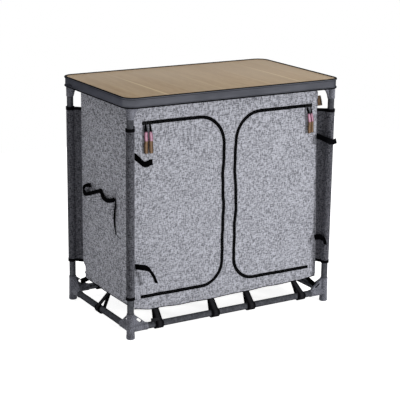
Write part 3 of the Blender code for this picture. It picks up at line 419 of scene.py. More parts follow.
def smooth_step(value, low, high):
    share = min(max((value - low) / (high - low), 0.0), 1.0)
    return share * share * (3 - 2 * share)


def even(low, high, count):
    """Values from low to high in a number of even steps."""
    return [low + (high - low) * index / count for index in range(count + 1)]


def spaced(low, high, step):
    """Evenly spaced values, both ends included, no further apart than a step."""
    return even(low, high, max(1, math.ceil(abs(high - low) / step)))


def arc(centre, radius, start, end, steps):
    """Points along an arc between two angles in degrees."""
    angles = [math.radians(angle) for angle in even(start, end, steps)]
    return [(centre[0] + radius * math.cos(a), centre[1] + radius * math.sin(a)) for a in angles]


def circle(centre, first, second, radius, sides):
    """Points round a centre, in the plane of two directions."""
    return [centre + first * a + second * b for a, b in arc((0, 0), radius, 0, 360, sides)[:-1]]


def each(value, count):
    """A list as it is, or one value for each of a number of points."""
    return value if isinstance(value, list) else [value] * count


def curve_through(points, steps):
    """A Catmull-Rom curve through points of any number of values."""
    ends = [Vector(points[0]) * 2 - Vector(points[1])] + [Vector(p) for p in points]
    ends.append(Vector(points[-1]) * 2 - Vector(points[-2]))
    made = []
    for a, b, c, d in zip(ends, ends[1:], ends[2:], ends[3:]):
        for step in range(steps):
            t = step / steps
            made.append(0.5 * (2 * b + (c - a) * t + (2 * a - 5 * b + 4 * c - d) * t * t
                               + (3 * b - a - 3 * c + d) * t ** 3))
    made.append(Vector(points[-1]))
    return made


def headings(route):
    """The direction of a route at each of its points."""
    return [(after - before).normalized() for before, after in zip(route[:1] + route, route[1:] + route[-1:])]


def walk(route, first, pitch):
    """Places at a pitch along a route, each with the direction there."""
    travel = first
    for start, end in zip(route, route[1:]):
        run = end - start
        while travel < run.length:
            yield start + run.normalized() * travel, run.normalized()
            travel += pitch
        travel -= run.length


def loft(rings, closed=False):
    """The points and faces of rings of points joined in turn. The ends are capped, or with
    closed the last ring joins the first."""
    count, around = len(rings), len(rings[0])
    faces = []
    for index in range(count if closed else count - 1):
        here, there = index * around, (index + 1) % count * around
        for step in range(around):
            onward = (step + 1) % around
            faces.append((here + step, here + onward, there + onward, there + step))
    if not closed:
        faces.append(tuple(range(around)))
        faces.append(tuple(reversed(range((count - 1) * around, count * around))))
    return [point for ring in rings for point in ring], faces


def gather(groups):
    """Several groups of points, faces and perhaps UVs as one."""
    points, faces, uvs = [], [], []
    for group in groups:
        start = len(points)
        points += group[0]
        faces += [tuple(start + index for index in face) for face in group[1]]
        uvs += group[2] if len(group) > 2 else []
    return points, faces, uvs


def section(wide, tall):
    """The eight corners of a strip two wide and two thick, whose corners are cut off beyond
    wide and tall."""
    return [(-1, -tall), (-wide, -1), (wide, -1), (1, -tall), (1, tall), (wide, 1), (-wide, 1), (-1, tall)]


def band(route, side, width, thickness):
    """A woven band along a route. The direction of its width, the width and the thickness may
    each be one value or a list with one for each point. Its UVs are in metres."""
    count = len(route)
    sides, widths, depths = each(side, count), each(width, count), each(thickness, count)
    rings, uvs, run = [], [], 0.0
    for index, (point, along) in enumerate(zip(route, headings(route))):
        across = (sides[index] - along * sides[index].dot(along)).normalized()
        up = along.cross(across)
        run += (point - route[max(index - 1, 0)]).length
        corners = [(a * widths[index] / 2, b * depths[index] / 2) for a, b in section(0.97, 0.36)]
        rings.append([point + across * a + up * b for a, b in corners])
        uvs += [(a, run) for a, _ in corners]
    return (*loft(rings), uvs)


def round_cord(route, radius, sides=8):
    """A round cord along a route, with one radius or a list with one for each point."""
    rings = []
    first = headings(route)[0].orthogonal()
    for point, along, size in zip(route, headings(route), each(radius, len(route))):
        first = (first - along * first.dot(along)).normalized()
        rings.append(circle(point, first, along.cross(first), size, sides))
    return loft(rings)


def stitches(route, normal, length=0.0032, gap=0.0014, half=0.00028, lift=0.00022):
    """Lockstitches along a route: small rounded dashes that dip into the cloth at their ends."""
    groups = []
    up = normal * lift
    for start, along in walk(route, 0.0, length + gap):
        side = along.cross(normal).normalized() * half
        rings = []
        for share, rise in ((0.0, -0.6), (0.2, 0.8), (0.8, 0.8), (1.0, -0.6)):
            middle = start + along * length * share + up * rise
            rings.append([middle - side, middle + up, middle + side, middle - up])
        groups.append(loft(rings))
    return gather(groups)


def cloth(patches, place):
    """The points and faces of a cloth, and its flat area. Its patches are rows of flat (a, b)
    points, merged where they meet, and place(a, b, depth) lays both of its faces out."""
    number_of, flat, quads = {}, [], []

    def number(point):
        key = (round(point[0], 6), round(point[1], 6))
        if key not in number_of:
            number_of[key] = len(flat)
            flat.append(point)
        return number_of[key]

    def area(quad):
        spots = [flat[index] for index in quad]
        return sum(a[0] * b[1] - b[0] * a[1] for a, b in zip(spots, spots[1:] + spots[:1])) / 2

    for patch in patches:
        for row, above in zip(patch, patch[1:]):
            for step in range(len(row) - 1):
                quad = [number(spot) for spot in (row[step], row[step + 1], above[step + 1], above[step])]
                kept = [index for index, before in zip(quad, quad[-1:] + quad) if index != before]
                if len(kept) > 2:
                    quads.append(tuple(kept) if area(kept) > 0 else tuple(reversed(kept)))
    count = len(flat)
    points = [place(a, b, depth) for depth in (0.0, CLOTH) for a, b in flat]
    faces = quads + [tuple(count + index for index in reversed(quad)) for quad in quads]
    uses = {}
    for quad in quads:
        for edge in zip(quad, quad[1:] + quad[:1]):
            uses.setdefault(frozenset(edge), []).append(edge)
    for edges in uses.values():
        if len(edges) == 1:
            here, following = edges[0]
            faces.append((following, here, count + here, count + following))
    return (points, faces), sum(area(quad) for quad in quads)


# The front's surface: zips, doors and the panel round them share one gentle relief


def front_relief(x, z):
    """How far the front stands proud of its plane: slow and fine waves, gathers over the hem,
    a slight belly, and a crumple in the upper left corner."""
    still = smooth_step(abs(z - ZIP_TOP), 0.012, 0.060)
    low = noise.noise(Vector((x * 6.5, 1.7, z * 5.0)))
    fine = noise.noise(Vector((x * 21, 8.1, z * 12)))
    ripple = math.sin(x * 61 + 1.5 * math.sin(z * 9)) * smooth_step(0.20 - z, 0.0, 0.11)
    belly = math.sin(math.pi * smooth_step(z, HEM, CABINET_TOP))
    rise = (0.0012 * low + 0.0007 * fine + 0.0012 * belly) * still + 0.0009 * ripple
    pinched = smooth_step(-x, 0.292, 0.335) * smooth_step(z, 0.712, 0.735)
    pinch = 0.0030 * pinched * math.sin((0.75 * x + z) * 290 + 1.2 * math.sin(x * 130))
    inset = CABINET_X - abs(x)
    return rise * smooth_step(inset, 0.0, 0.050) + pinch * smooth_step(inset, 0.0, 0.010)


def right_lean(z):
    """How far the cabinet's front right edge lies outside its place at a height."""
    return 0.0165 * smooth_step(0.735 - z, 0.0, 0.64) - 0.0080


def front_sway(x, z):
    """How far the front is drawn to the right: it sways along the zips' upright runs and
    leans along its right edge."""
    lean_start = 0.328
    if x < 0:
        sway = -0.0026 * math.sin((z - 0.435) * 26) * smooth_step(z, 0.30, 0.42) + 0.0008 * math.sin(z * 83)
    else:
        sway = 0.0036 * math.sin((0.470 - z) * 21) * smooth_step(z, 0.28, 0.40) + 0.0008 * math.sin(z * 71)
    sway *= math.exp(-((abs(x) - ZIP_INNER) / 0.028) ** 2)
    sway *= smooth_step(z, 0.19, 0.26) * smooth_step(0.64 - z, 0.0, 0.08)
    return sway + right_lean(z) * smooth_step(x, lean_start, CABINET_X)


def front_lift(x, z):
    """How far the front is drawn up: its lower half hangs low, and its hem waves and rises at
    both ends."""
    wave = 0.0025 * smooth_step(x, 0.02, 0.28) - 0.0038 * math.exp(-((x + 0.11) / 0.12) ** 2)
    wave += 0.0009 * math.sin(x * 47 + 1.0)
    ends = 0.0100 * smooth_step(-x, 0.285, CABINET_X) + 0.0070 * smooth_step(x, 0.300, CABINET_X)
    near_hem = smooth_step(ZIP_BOTTOM - z, 0.004, ZIP_BOTTOM - HEM)
    return (wave + ends) * near_hem - 0.0070 * smooth_step(0.45 - z, 0.0, 0.30)


def on_front(x, z, depth=0.0):
    """The place of a flat point of the front, at a depth behind its face."""
    return Vector((x + front_sway(x, z), depth - CABINET_Y - front_relief(x, z), z + front_lift(x, z)))


def front_half(z):
    """Half the front's width at a height, with its cut upper corners."""
    return CABINET_X - TOP_CUT_X * max(z - CABINET_TOP + TOP_CUT_Z, 0.0) / TOP_CUT_Z


TURN_HIGH, TURN_LOW = ZIP_TOP - TOP_ARC, ZIP_BOTTOM + BOTTOM_ARC


def zip_x(z, offset):
    """The zip line's distance from the middle at a height, moved out from the door."""
    if z > TURN_HIGH:
        return ZIP_INNER + TOP_ARC - math.sqrt(max((TOP_ARC + offset) ** 2 - (z - TURN_HIGH) ** 2, 0.0))
    if z < TURN_LOW:
        return ZIP_INNER + BOTTOM_ARC - math.sqrt(max((BOTTOM_ARC + offset) ** 2 - (z - TURN_LOW) ** 2, 0.0))
    return ZIP_INNER - offset


def levels(low, high, offset):
    """Heights between two ends, close together where the zip turns."""
    turning = [math.sin(math.radians(5 * step)) for step in range(18)]
    values = [low] + [TURN_LOW - (BOTTOM_ARC + offset) * share for share in reversed(turning)]
    values += spaced(TURN_LOW, TURN_HIGH, 0.010)[1:]
    return values + [TURN_HIGH + (TOP_ARC + offset) * share for share in turning[1:]] + [high]


def zip_line(side, offset, end=ZIP_END):
    """The zip's route as flat (x, z) points, from its upper end to its lower end."""
    high_x, low_x = ZIP_INNER + TOP_ARC, ZIP_INNER + BOTTOM_ARC
    points = [(x, ZIP_TOP + offset) for x in spaced(end, high_x, 0.012)]
    points += arc((high_x, TURN_HIGH), TOP_ARC + offset, 90, 180, 26)[1:]
    points += [(ZIP_INNER - offset, z) for z in spaced(TURN_HIGH, TURN_LOW, 0.008)[1:]]
    points += arc((low_x, TURN_LOW), BOTTOM_ARC + offset, 180, 270, 24)[1:]
    points += [(x, ZIP_BOTTOM - offset) for x in spaced(low_x, end, 0.012)[1:]]
    return [(side * x, z) for x, z in points]


def fanned(marks, half):
    """Places across the front, from edge to edge, that fall on marks at both sides."""
    right = []
    for start, end, count in zip(marks, marks[1:] + (half,), (18, 4, 4)):
        right += even(start, end, count)[:-1]
    right.append(half)
    return [-x for x in reversed(right)] + even(-marks[0], marks[0], 24)[1:-1] + right


def front_panel():
    """The front as one cloth, with an opening for each door."""
    beyond = ZIP_END + CLEARANCE
    top_edge, low_edge = ZIP_TOP + OPENING, ZIP_BOTTOM - OPENING
    top_cut, hem_cut = CABINET_TOP - TOP_CUT_Z, HEM + HEM_CUT_Z
    above = spaced(top_edge, top_cut, 0.007) + spaced(top_cut, CABINET_TOP, 0.006)[1:]
    below = spaced(HEM, hem_cut, 0.005) + spaced(hem_cut, low_edge, 0.007)[1:]
    patches = []
    for heights, turn in ((above, TOP_ARC), (below, BOTTOM_ARC)):
        marks = (ZIP_INNER + turn, FOLD_OUT, beyond)
        patches.append([[(x, z) for x in fanned(marks, front_half(z))] for z in heights])
    middle = []
    for z in levels(low_edge, top_edge, OPENING):
        reach = zip_x(z, OPENING)
        middle.append([(x, z) for x in even(-reach, reach, 24)])
    patches.append(middle)
    inner, outer = even(FOLD_OUT, beyond, 4), even(beyond, CABINET_X, 4)
    beside = spaced(ZIP_BOTTOM + OPENING, ZIP_TOP - OPENING, 0.010)
    for side in (-1, 1):
        for low, high in ((low_edge, ZIP_BOTTOM + OPENING), (ZIP_TOP - OPENING, top_edge)):
            patches.append([[(side * x, z) for x in outer] for z in even(low, high, 2)])
        patches.append([[(side * x, z) for x in inner + outer[1:]] for z in beside])
    made, area = cloth(patches, on_front)
    item = show("front_cloth", made, LIGHT_CLOTH, stands_for=("cabinet_front",), smooth=40)


def doors():
    """The two zipped doors, each in one piece out to the strip at its outer edge, with finer steps across
    that strip.
    """
    for label, side in SIDES:
        grid = []
        for z in levels(ZIP_BOTTOM + OPENING, ZIP_TOP - OPENING, -OPENING):
            row = even(zip_x(z, -OPENING), FOLD_IN, 26)[:-1] + even(FOLD_IN, FOLD_OUT, 6)
            grid.append([(side * x, z) for x in row])
        made, area = cloth([grid], on_front)
        item = show(f"{label}_door_cloth", made, LIGHT_CLOTH, None, (f"{label}_door",), 40)
        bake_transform(item)


def strip(flat_inner, flat_outer, front, back):
    """A tape between two flat routes of equal length, from one depth to another."""
    rings = []
    for (ax, az), (bx, bz) in zip(flat_inner, flat_outer):
        middle = ((ax + bx) / 2, (az + bz) / 2)
        faced = [on_front(x, z, front) for x, z in ((ax, az), middle, (bx, bz))]
        rings.append(faced + [on_front(x, z, back) for x, z in ((bx, bz), (ax, az))])
    return loft(rings)


def teeth(route, lean, first=0.0010):
    """A row of moulded teeth beside the slit. lean is +1 outside the door and -1 inside."""
    root_half, tip_half, reach, pitch = 0.00062, 0.00042, 0.0013, 0.0022
    groups = []
    for spot, along in walk([Vector((x, 0, z)) for x, z in route], first, pitch):
        out = Vector((-along.z, 0, along.x)) * lean
        points = []
        for a, b in ((-root_half, 0), (root_half, 0), (tip_half, reach), (-tip_half, reach)):
            flat = spot + along * a + out * b
            points += [on_front(flat.x, flat.z, depth) for depth in (-0.00115, 0.0004)]
        faces = [(0, 2, 4, 6), (7, 5, 3, 1), (0, 1, 3, 2), (2, 3, 5, 4), (4, 5, 7, 6), (6, 7, 1, 0)]
        groups.append((points, faces))
    return gather(groups)


def zips():
    """Both halves of each zip, their teeth and end stops, the cover over its low end, and the
    rows of stitches beside them."""
    tape_depths, tooth_row, stitch_row = (-0.0006, 0.0011), SLIT + 0.0001, TAPE_EDGE + 0.0024
    parked = spaced(ZIP_END - 0.004, FOLD_IN + 0.001, 0.004)
    for label, side in SIDES:
        leaf = f"{label}_door_leaf"

        def block(start, end, height, half, depths):
            low = [(side * x, height - half) for x in (start, end)]
            return strip(low, [(x, height + half) for x, _ in low], *depths)

        tapes = [strip(zip_line(side, SLIT), zip_line(side, TAPE_EDGE), *tape_depths)]
        rows = [teeth(zip_line(side, tooth_row), -side)]
        for height, lean in ((ZIP_TOP, -1), (ZIP_BOTTOM, 1)):
            near = [(side * x, height + lean * SLIT) for x in spaced(FOLD_IN + 0.0002, ZIP_END, 0.006)]
            far = [(x, height + lean * TAPE_EDGE) for x, _ in near]
            tapes.append(strip(near, far, *tape_depths))
            tapes.append(block(ZIP_END - 0.0028, ZIP_END - 0.0002, height, 0.0016, (-0.0022, 0.0008)))
            rows.append(teeth([(side * x, height + lean * tooth_row) for x in parked], -lean * side))
        tapes.append(block(ZIP_END - 0.0010, ZIP_END + 0.0048, ZIP_BOTTOM, 0.0048, (-0.0014, 0.0002)))
        frame_half, door_half = f"{label}_zip_frame", f"{label}_zip_door"
        show(f"{frame_half}_tape", gather(tapes), ZIP_TAPE, stands_for=(f"{frame_half}_half",), smooth=50)
        show(f"{frame_half}_teeth", gather(rows), TEETH)
        tape = strip(zip_line(side, -TAPE_EDGE, FOLD_IN), zip_line(side, -SLIT, FOLD_IN), *tape_depths)
        show(f"{door_half}_tape", tape, ZIP_TAPE, leaf, (f"{door_half}_half",), 50)
        show(f"{door_half}_teeth", teeth(zip_line(side, -tooth_row, FOLD_IN), side, 0.0021), TEETH, leaf)
        for name, body, offset, end in ((frame_half, "root", stitch_row, ZIP_END + 0.002),
                                        (door_half, leaf, -stitch_row, FOLD_IN)):
            route = [on_front(x, z, -0.0001) for x, z in zip_line(side, offset, end)]
            show(f"{name}_stitches", stitches(route, OUT_FRONT), GREY_THREAD, body)


# The back and the sides

NOTCH, NOTCH_TOP, GUSSET_TOP = 0.0165, 0.143, 0.146


def plain_panel(name, node, half_a, place, low_notch):
    """The back or a side as one cloth, laid out by place(a, z, depth). Its hem has a deep notch
    at its high end, and at its low end one too or a small cut."""
    top_cut, hem_cut, fine_top = CABINET_TOP - TOP_CUT_Z, HEM + HEM_CUT_Z, 0.150

    def reach(z, notched):
        inward = TOP_CUT_X * max(z - top_cut, 0.0) / TOP_CUT_Z
        if notched:
            return half_a - inward - NOTCH * smooth_step(NOTCH_TOP - z, 0.0, 0.017)
        return half_a - inward - HEM_CUT_X * max(hem_cut - z, 0.0) / HEM_CUT_Z

    heights = spaced(HEM, hem_cut, 0.005) + spaced(hem_cut, fine_top, 0.0045)[1:]
    heights += spaced(fine_top, top_cut, 0.010)[1:] + spaced(top_cut, CABINET_TOP, 0.006)[1:]
    count = math.ceil(2 * half_a / 0.012)
    grid = [[(a, z) for a in even(-reach(z, low_notch), reach(z, True), count)] for z in heights]
    made, area = cloth([grid], place)
    item = show(name, made, SIDE_CLOTH, stands_for=(node,), smooth=40)


def panel_relief(a, z, half_a, seed):
    """The relief of a plain panel: slack in the middle and calm at the seams."""
    low = noise.noise(Vector((a * 7 + seed, 4.2, z * 4.5)))
    fine = noise.noise(Vector((a * 23, 2.2 + seed, z * 11)))
    pull = 0.0008 * math.sin(a * 55 + 2 * z) * smooth_step(0.20 - z, 0.0, 0.11)
    return (0.0015 * low + 0.0007 * fine + pull) * smooth_step(half_a - abs(a), 0.0, 0.06)


def hem_rise(y):
    """How far a side's hem is drawn up: most at its ends, and least in the middle, where it sags."""
    return 0.0028 - 0.0022 * math.sin(math.pi * smooth_step(y, -INNER_Y, INNER_Y))


def plain_panels():
    """The back and the two sides. The right one leans with the front, and its hem rises there."""
    def back(a, z, depth):
        return Vector((a, CABINET_Y + panel_relief(a, z, CABINET_X, 3.0) * 0.8 - depth, z))

    plain_panel("back_cloth", "cabinet_back", CABINET_X, back, True)
    for label, side in SIDES:
        def wall(a, z, depth, side=side):
            relief = panel_relief(a, z, INNER_Y, 5.0 + side)
            lean, rise = 0.0, hem_rise(a)
            if side > 0:
                lean = right_lean(z) * smooth_step(-a, 0.110, INNER_Y)
                rise += 0.0070 * smooth_step(-a, 0.120, INNER_Y)
            rise *= smooth_step(0.150 - z, 0.0, 0.064)
            return Vector((side * (CABINET_X + relief - depth) + lean, a, z + rise))

        plain_panel(f"{label}_cloth", f"cabinet_{label}", INNER_Y + 0.0025, wall, False)
        gusset(label, side)


def gusset(label, side):
    """A narrow cloth that closes a rear corner between the notches of the back and a side."""
    def place(a, z, depth):
        x = CABINET_X - CLOTH - depth - NOTCH * a
        return Vector((side * x, INNER_Y - NOTCH * (1 - a) - depth / 2, z))

    grid = [[(a, z) for a in even(0.0, 1.0, 4)] for z in spaced(FLOOR_BOTTOM, GUSSET_TOP, 0.006)]
    item = show(f"{label}_rear_gusset", cloth([grid], place)[0], SIDE_CLOTH, smooth=40)


def edge_seams():
    """A piped seam down each corner of the cabinet, black cords along the hems for an overlocked
    edge and the painted shade under it, and stitches along them.
    """
    seams, inset = [], 0.0002
    for side_x in (-1, 1):
        for side_y in (-1, 1):
            route = []
            for z in spaced(HEM + 0.009 if side_y < 0 else GUSSET_TOP, CABINET_TOP - TOP_CUT_Z, 0.02):
                lean = right_lean(z) if side_x > 0 and side_y < 0 else 0.0
                route.append(Vector((side_x * (CABINET_X - inset) + lean, side_y * (CABINET_Y - inset), z)))
            seams.append(round_cord(route, 0.0012))
    show("corner_seams", gather(seams), LIGHT_CLOTH, smooth=60)
    # Black cords along the hems' lower edges: an overlocked edge, and painted shade under the hem.
    edge, cord, reach_x, reach_y = HEM - 0.0006, 0.0017, CABINET_X - 0.0010, INNER_Y - 0.0100
    hems = [round_cord([on_front(x, edge, CLOTH / 2) for x in spaced(-reach_x, reach_x, 0.010)], cord)]
    for side in (-1, 1):
        x = side * (CABINET_X - CLOTH / 2)
        route = [Vector((x, y, edge + hem_rise(y))) for y in even(-reach_y, reach_y, 25)]
        hems.append(round_cord(route, cord))
    show("hem_edge_and_shade_cords", gather(hems), WEBBING, smooth=60)
    rows = []
    for rise in (0.010, 0.012):
        places = spaced(0.012 - CABINET_X, CABINET_X - 0.012, 0.01)
        rows.append(stitches([on_front(x, HEM + rise, -0.0001) for x in places], OUT_FRONT))
    for side in (-1, 1):
        x = side * (CABINET_X + 0.0013)
        route = [Vector((x, y, HEM + 0.0135)) for y in spaced(0.012 - INNER_Y, INNER_Y - 0.022, 0.01)]
        rows.append(stitches(route, Vector((side, 0, 0))))
    show("hem_stitches", gather(rows), GREY_THREAD)


# Loops, stays and ties

# How the front loops hang askew: the shift at the hem and at the rail, and the width at the hem
LOOP_HANG = (
    (0.0025, -0.0035, 0.0250),
    (0.0070, 0.0014, 0.0255),
    (0.0085, 0.0050, 0.0245),
    (-0.0040, 0.0040, 0.0200),
)
# The first loop's spare end: how far along, how far out and how high from the rail
SPARE_END = (
    (-0.0060, 0.0128, 0.0225),
    (-0.0160, 0.0142, 0.0220),
    (-0.0260, 0.0138, 0.0210),
    (-0.0320, 0.0112, 0.0200),
    (-0.0342, 0.0080, 0.0192),
)


def teardrop(centre, radius, apex, spread):
    """A loop's flat route: from one ply's end round a rail to the other ply's end."""
    reach = Vector(apex) - Vector(centre)
    heading = math.degrees(math.atan2(reach.y, reach.x))
    lean = math.degrees(math.acos((radius - spread) / reach.length))
    turn = arc(centre, radius, heading + lean, heading + 360 - lean, 26)
    cross = Vector((-reach.y, reach.x)).normalized() * spread
    plies = []
    for start, end in ((Vector(apex) + cross, turn[0]), (turn[-1], Vector(apex) - cross)):
        plies.append([tuple(Vector(start).lerp(Vector(end), share)) for share in even(0.0, 1.0, 6)])
    return plies[0][:-1] + turn + plies[1][1:]


def webbing_loop(axis, side, middle, rail, apex_z, hang):
    """One loop round a rail that runs along an axis, with a doubled ring where it goes round a
    bottom rail. hang is its shift at the hem and at the rail, and its width at the hem."""
    ring_thick, ring_width, tuck = 0.0042, 0.0290, 0.0120
    leg, edge = (LEG_Y, CABINET_Y) if axis == "X" else (LEG_X, CABINET_X)
    low = rail < HEM
    radius = BORE_RADIUS + (0.0002 + ring_thick / 2 if low else STRAP_THICK / 2)
    apex = (side * (edge - CLOTH - 2 * STRAP_THICK - 0.0006), apex_z)
    flat = teardrop((side * leg, rail), radius, apex, STRAP_THICK * 0.52)
    if low:
        (a, b), (c, d) = flat[0], flat[-1]
        flat = [(a, b + tuck), (a, b + tuck / 2)] + flat + [(c, d + tuck / 2), (c, d + tuck)]
    hem_shift, rail_shift, hem_width = hang
    route, widths, depths = [], [], []
    for index, (out, z) in enumerate(flat):
        away = min(index, len(flat) - 1 - index)
        share = smooth_step(away, 7.2, 8.8) if low else 0.0
        widths.append(hem_width + (ring_width - hem_width) * share)
        depths.append(STRAP_THICK + (ring_thick - STRAP_THICK) * share)
        along = middle + hem_shift + (rail_shift - hem_shift) * min(max(away - 2, 0) / 6, 1.0)
        route.append(Vector((along, out, z) if axis == "X" else (out, along, z)))
    return band(route, Vector((1, 0, 0) if axis == "X" else (0, 1, 0)), widths, depths)


def loops():
    """Webbing loops from behind the cabinet's edges round the rails. The front ones hang askew,
    and the first has a spare end that sticks out."""
    straight, top = (0.0, 0.0, 0.0200), CABINET_TOP - 0.009
    rows = []
    for number, (middle, hang) in enumerate(zip(LOOP_STATIONS, LOOP_HANG), start=1):
        front_hem = on_front(middle, HEM).z
        rows.append((f"front_loop_{number}", "X", -1, middle, BOTTOM_RAIL, front_hem - 0.0010, hang))
        rows.append((f"rear_loop_{number}", "X", 1, middle, BOTTOM_RAIL, HEM - 0.0010, straight))
    for label, side in SIDES:
        rows.append((f"{label}_hem_loop", "Y", side, 0.0, BOTTOM_RAIL, HEM, straight))
        rows.append((f"{label}_top_loop", "Y", side, 0.0, TOP_RAIL, top, straight))
    for label, side in ENDS:
        for word, middle in (("left", -0.180), ("right", 0.180)):
            rows.append((f"{label}_top_loop_{word}", "X", side, middle, TOP_RAIL, top, straight))
    for name, *place in rows:
        made, nodes = webbing_loop(*place), ()
        if name.startswith("front_loop"):
            nodes = (name.replace("loop", "strap"),)
        if name == "front_loop_1":
            start = Vector((LOOP_STATIONS[0], -LEG_Y, BOTTOM_RAIL))
            spare = curve_through([start + Vector((a, -b, c)) for a, b, c in SPARE_END], 5)
            made = gather([made, band(spare, Vector((0.2, 0, 1)), 0.0125, STRAP_THICK)])
        show(name, made, LOOP_WEBBING, stands_for=nodes, smooth=35)


# A corner stay's places, for the corner where both directions are positive
STAY = (
    (0.3270, 0.1560, 0.0965),
    (0.3325, 0.1640, 0.0905),
    (0.3400, 0.1860, 0.0790),
    (0.3465, 0.2090, 0.0665),
    (0.3520, 0.2150, 0.0620),
    (0.3575, 0.2149, 0.0610),
)


def corner_stays():
    """Wide stays from under the floor through the slots of two bottom connectors."""
    for label, side_x, side_y in (("front_right", 1, -1), ("rear_left", -1, 1)):
        route = curve_through([(side_x * a, side_y * b, c) for a, b, c in STAY], 6)
        count = len(route)
        widths = [0.0125 + 0.0060 * smooth_step(step / count, 0.10, 0.70) for step in range(count)]
        made = band(route, UPRIGHT, widths, STRAP_THICK)
        show(f"corner_stay_{label}", made, WEBBING, stands_for=(f"corner_strap_{label}",), smooth=35)


TIE_WIDTH = 0.019
EDGE_ON, LEANING = (-0.06, -0.85, 0.52), (0.25, -0.10, 0.96)
# Each tie's places from its seam on, and how its width stands beyond the third of them
TIES = {
    "left_upper": (((-0.3600, -0.1926, 0.6070), (-0.348, -0.207, 0.5925), (-0.339, -0.223, 0.5815),
                    (-0.332, -0.234, 0.584), (-0.326, -0.243, 0.5905), (-0.321, -0.248, 0.592)),
                   (LEANING, LEANING, LEANING)),
    "left_lower": (((-0.354, -0.1928, 0.2345), (-0.345, -0.208, 0.2355), (-0.330, -0.220, 0.2335),
                    (-0.317, -0.228, 0.2225), (-0.307, -0.233, 0.2045), (-0.299, -0.236, 0.1825)),
                   (EDGE_ON, EDGE_ON, EDGE_ON)),
    "right_upper": (((0.3505, -0.1928, 0.596), (0.357, -0.216, 0.593), (0.3645, -0.238, 0.588),
                     (0.381, -0.243, 0.5815), (0.397, -0.245, 0.5845)),
                    (LEANING, UPRIGHT)),
    "right_lower": (((0.3585, -0.1928, 0.2300), (0.3604, -0.215, 0.2375), (0.3643, -0.230, 0.2365),
                     (0.3696, -0.2375, 0.2270), (0.3717, -0.239, 0.2145)),
                    (EDGE_ON, EDGE_ON)),
}


def ties():
    """Four webbing tails at the front corner seams, each a band that dips or curls over."""
    for name, (places, turns) in TIES.items():
        sides = [side.normalized() for side in curve_through((UPRIGHT, UPRIGHT, UPRIGHT, *turns), 6)]
        made = band(curve_through(places, 6), sides, TIE_WIDTH, STRAP_THICK)
        show(f"tie_{name}", made, WEBBING, stands_for=(f"tie_back_{name}",), smooth=35)


# Sleeves and pocket


def sleeve_outline(outer, reach, half, steps=1):
    """A sleeve's section round its leg, with the flap that reaches to the cabinet."""
    lap = math.degrees(math.asin(half / outer))
    run = even(0.0145, reach, steps)[1:]
    flap = [(x, -half) for x in run] + [(x, half) for x in reversed(run)]
    return arc((0, 0), outer, lap, 360 - lap, 28) + flap


def walled(name, outline, hole, heights, lay):
    """A closed wall of an outline round a hole, laid out by lay(point, z)."""
    outer, inner = len(outline), len(hole)
    ring, last = outer + inner, len(heights) - 1
    faces = []
    for level in range(last):
        for start, count, turned_in in ((level * ring, outer, False), (level * ring + outer, inner, True)):
            for step in range(count):
                a, b = start + step, start + (step + 1) % count
                if turned_in:
                    a, b = b, a
                faces.append((a, b, b + ring, a + ring))
    mesh = mesh_from(name, [lay(point, z) for z in heights for point in outline + hole], faces)
    shape = bmesh.new()
    shape.from_mesh(mesh)
    shape.verts.ensure_lookup_table()
    for base in (0, last * ring):
        border = []
        for start, count in ((base, outer), (base + outer, inner)):
            for step in range(count):
                pair = (shape.verts[start + step], shape.verts[start + (step + 1) % count])
                border.append(shape.edges.get(pair) or shape.edges.new(pair))
        bmesh.ops.triangle_fill(shape, edges=border, use_beauty=True)
    bmesh.ops.recalc_face_normals(shape, faces=shape.faces)
    shape.to_mesh(mesh)
    shape.free()
    return mesh


def sleeves():
    """Dark sleeves round the legs, each on its diagonal flap, with black bound ends."""
    bore, outer, half, bound = TUBE_RADIUS + 0.0006, 0.0138, 0.0015, 0.0102
    reach = math.hypot(LEG_X - CABINET_X, LEG_Y - CABINET_Y) - CLEARANCE
    section_line = sleeve_outline(outer, reach, half, 5)
    bound_line = sleeve_outline(outer + 0.0011, reach + 0.0002, half + 0.0009)
    hole, bound_hole = (arc((0, 0), radius, 0, 360, 28)[:-1] for radius in (bore, bore - 0.0003))
    for corner, side_x, side_y, turn in CORNERS:
        spin = Matrix.Rotation(math.radians(turn + 45), 3, "Z")
        seed = side_x + 2 * side_y

        def lay(point, z):
            flat = Vector((*point, 0))
            if point[0] > 0.010:
                away = smooth_step(point[0], 0.010, 0.020) * smooth_step(reach - point[0], 0.0, 0.010)
                flat.y += 0.0016 * away * noise.noise(Vector((seed, point[0] * 40, z * 9)))
            if math.hypot(*point) < outer + 0.001:
                flat *= 1 + 0.010 * noise.noise(Vector((seed, math.atan2(point[1], point[0]), z * 14)))
            flat = spin @ flat + Vector((side_x * LEG_X, side_y * LEG_Y, z))
            if side_x > 0 and side_y < 0:
                flat.x += right_lean(z) * smooth_step(point[0], 0.014, reach)
            return flat

        longer = 0.0070 if corner == "front_left" else 0.0
        low_end, high_end = SLEEVE_BOTTOM - longer, SLEEVE_TOP + longer
        mesh = walled("sleeve", section_line, hole, spaced(low_end, high_end, 0.012), lay)
        sleeve = show(f"sleeve_{corner}", mesh, DARK_CLOTH, stands_for=(f"leg_sleeve_{corner}",), smooth=40)
        for word, low in (("lower", low_end - 0.0012), ("upper", high_end - 0.0090)):
            mesh = walled("binding", bound_line, bound_hole, spaced(low, low + bound, bound / 3), lay)
            show(f"sleeve_binding_{word}_{corner}", mesh, WEBBING, smooth=50)


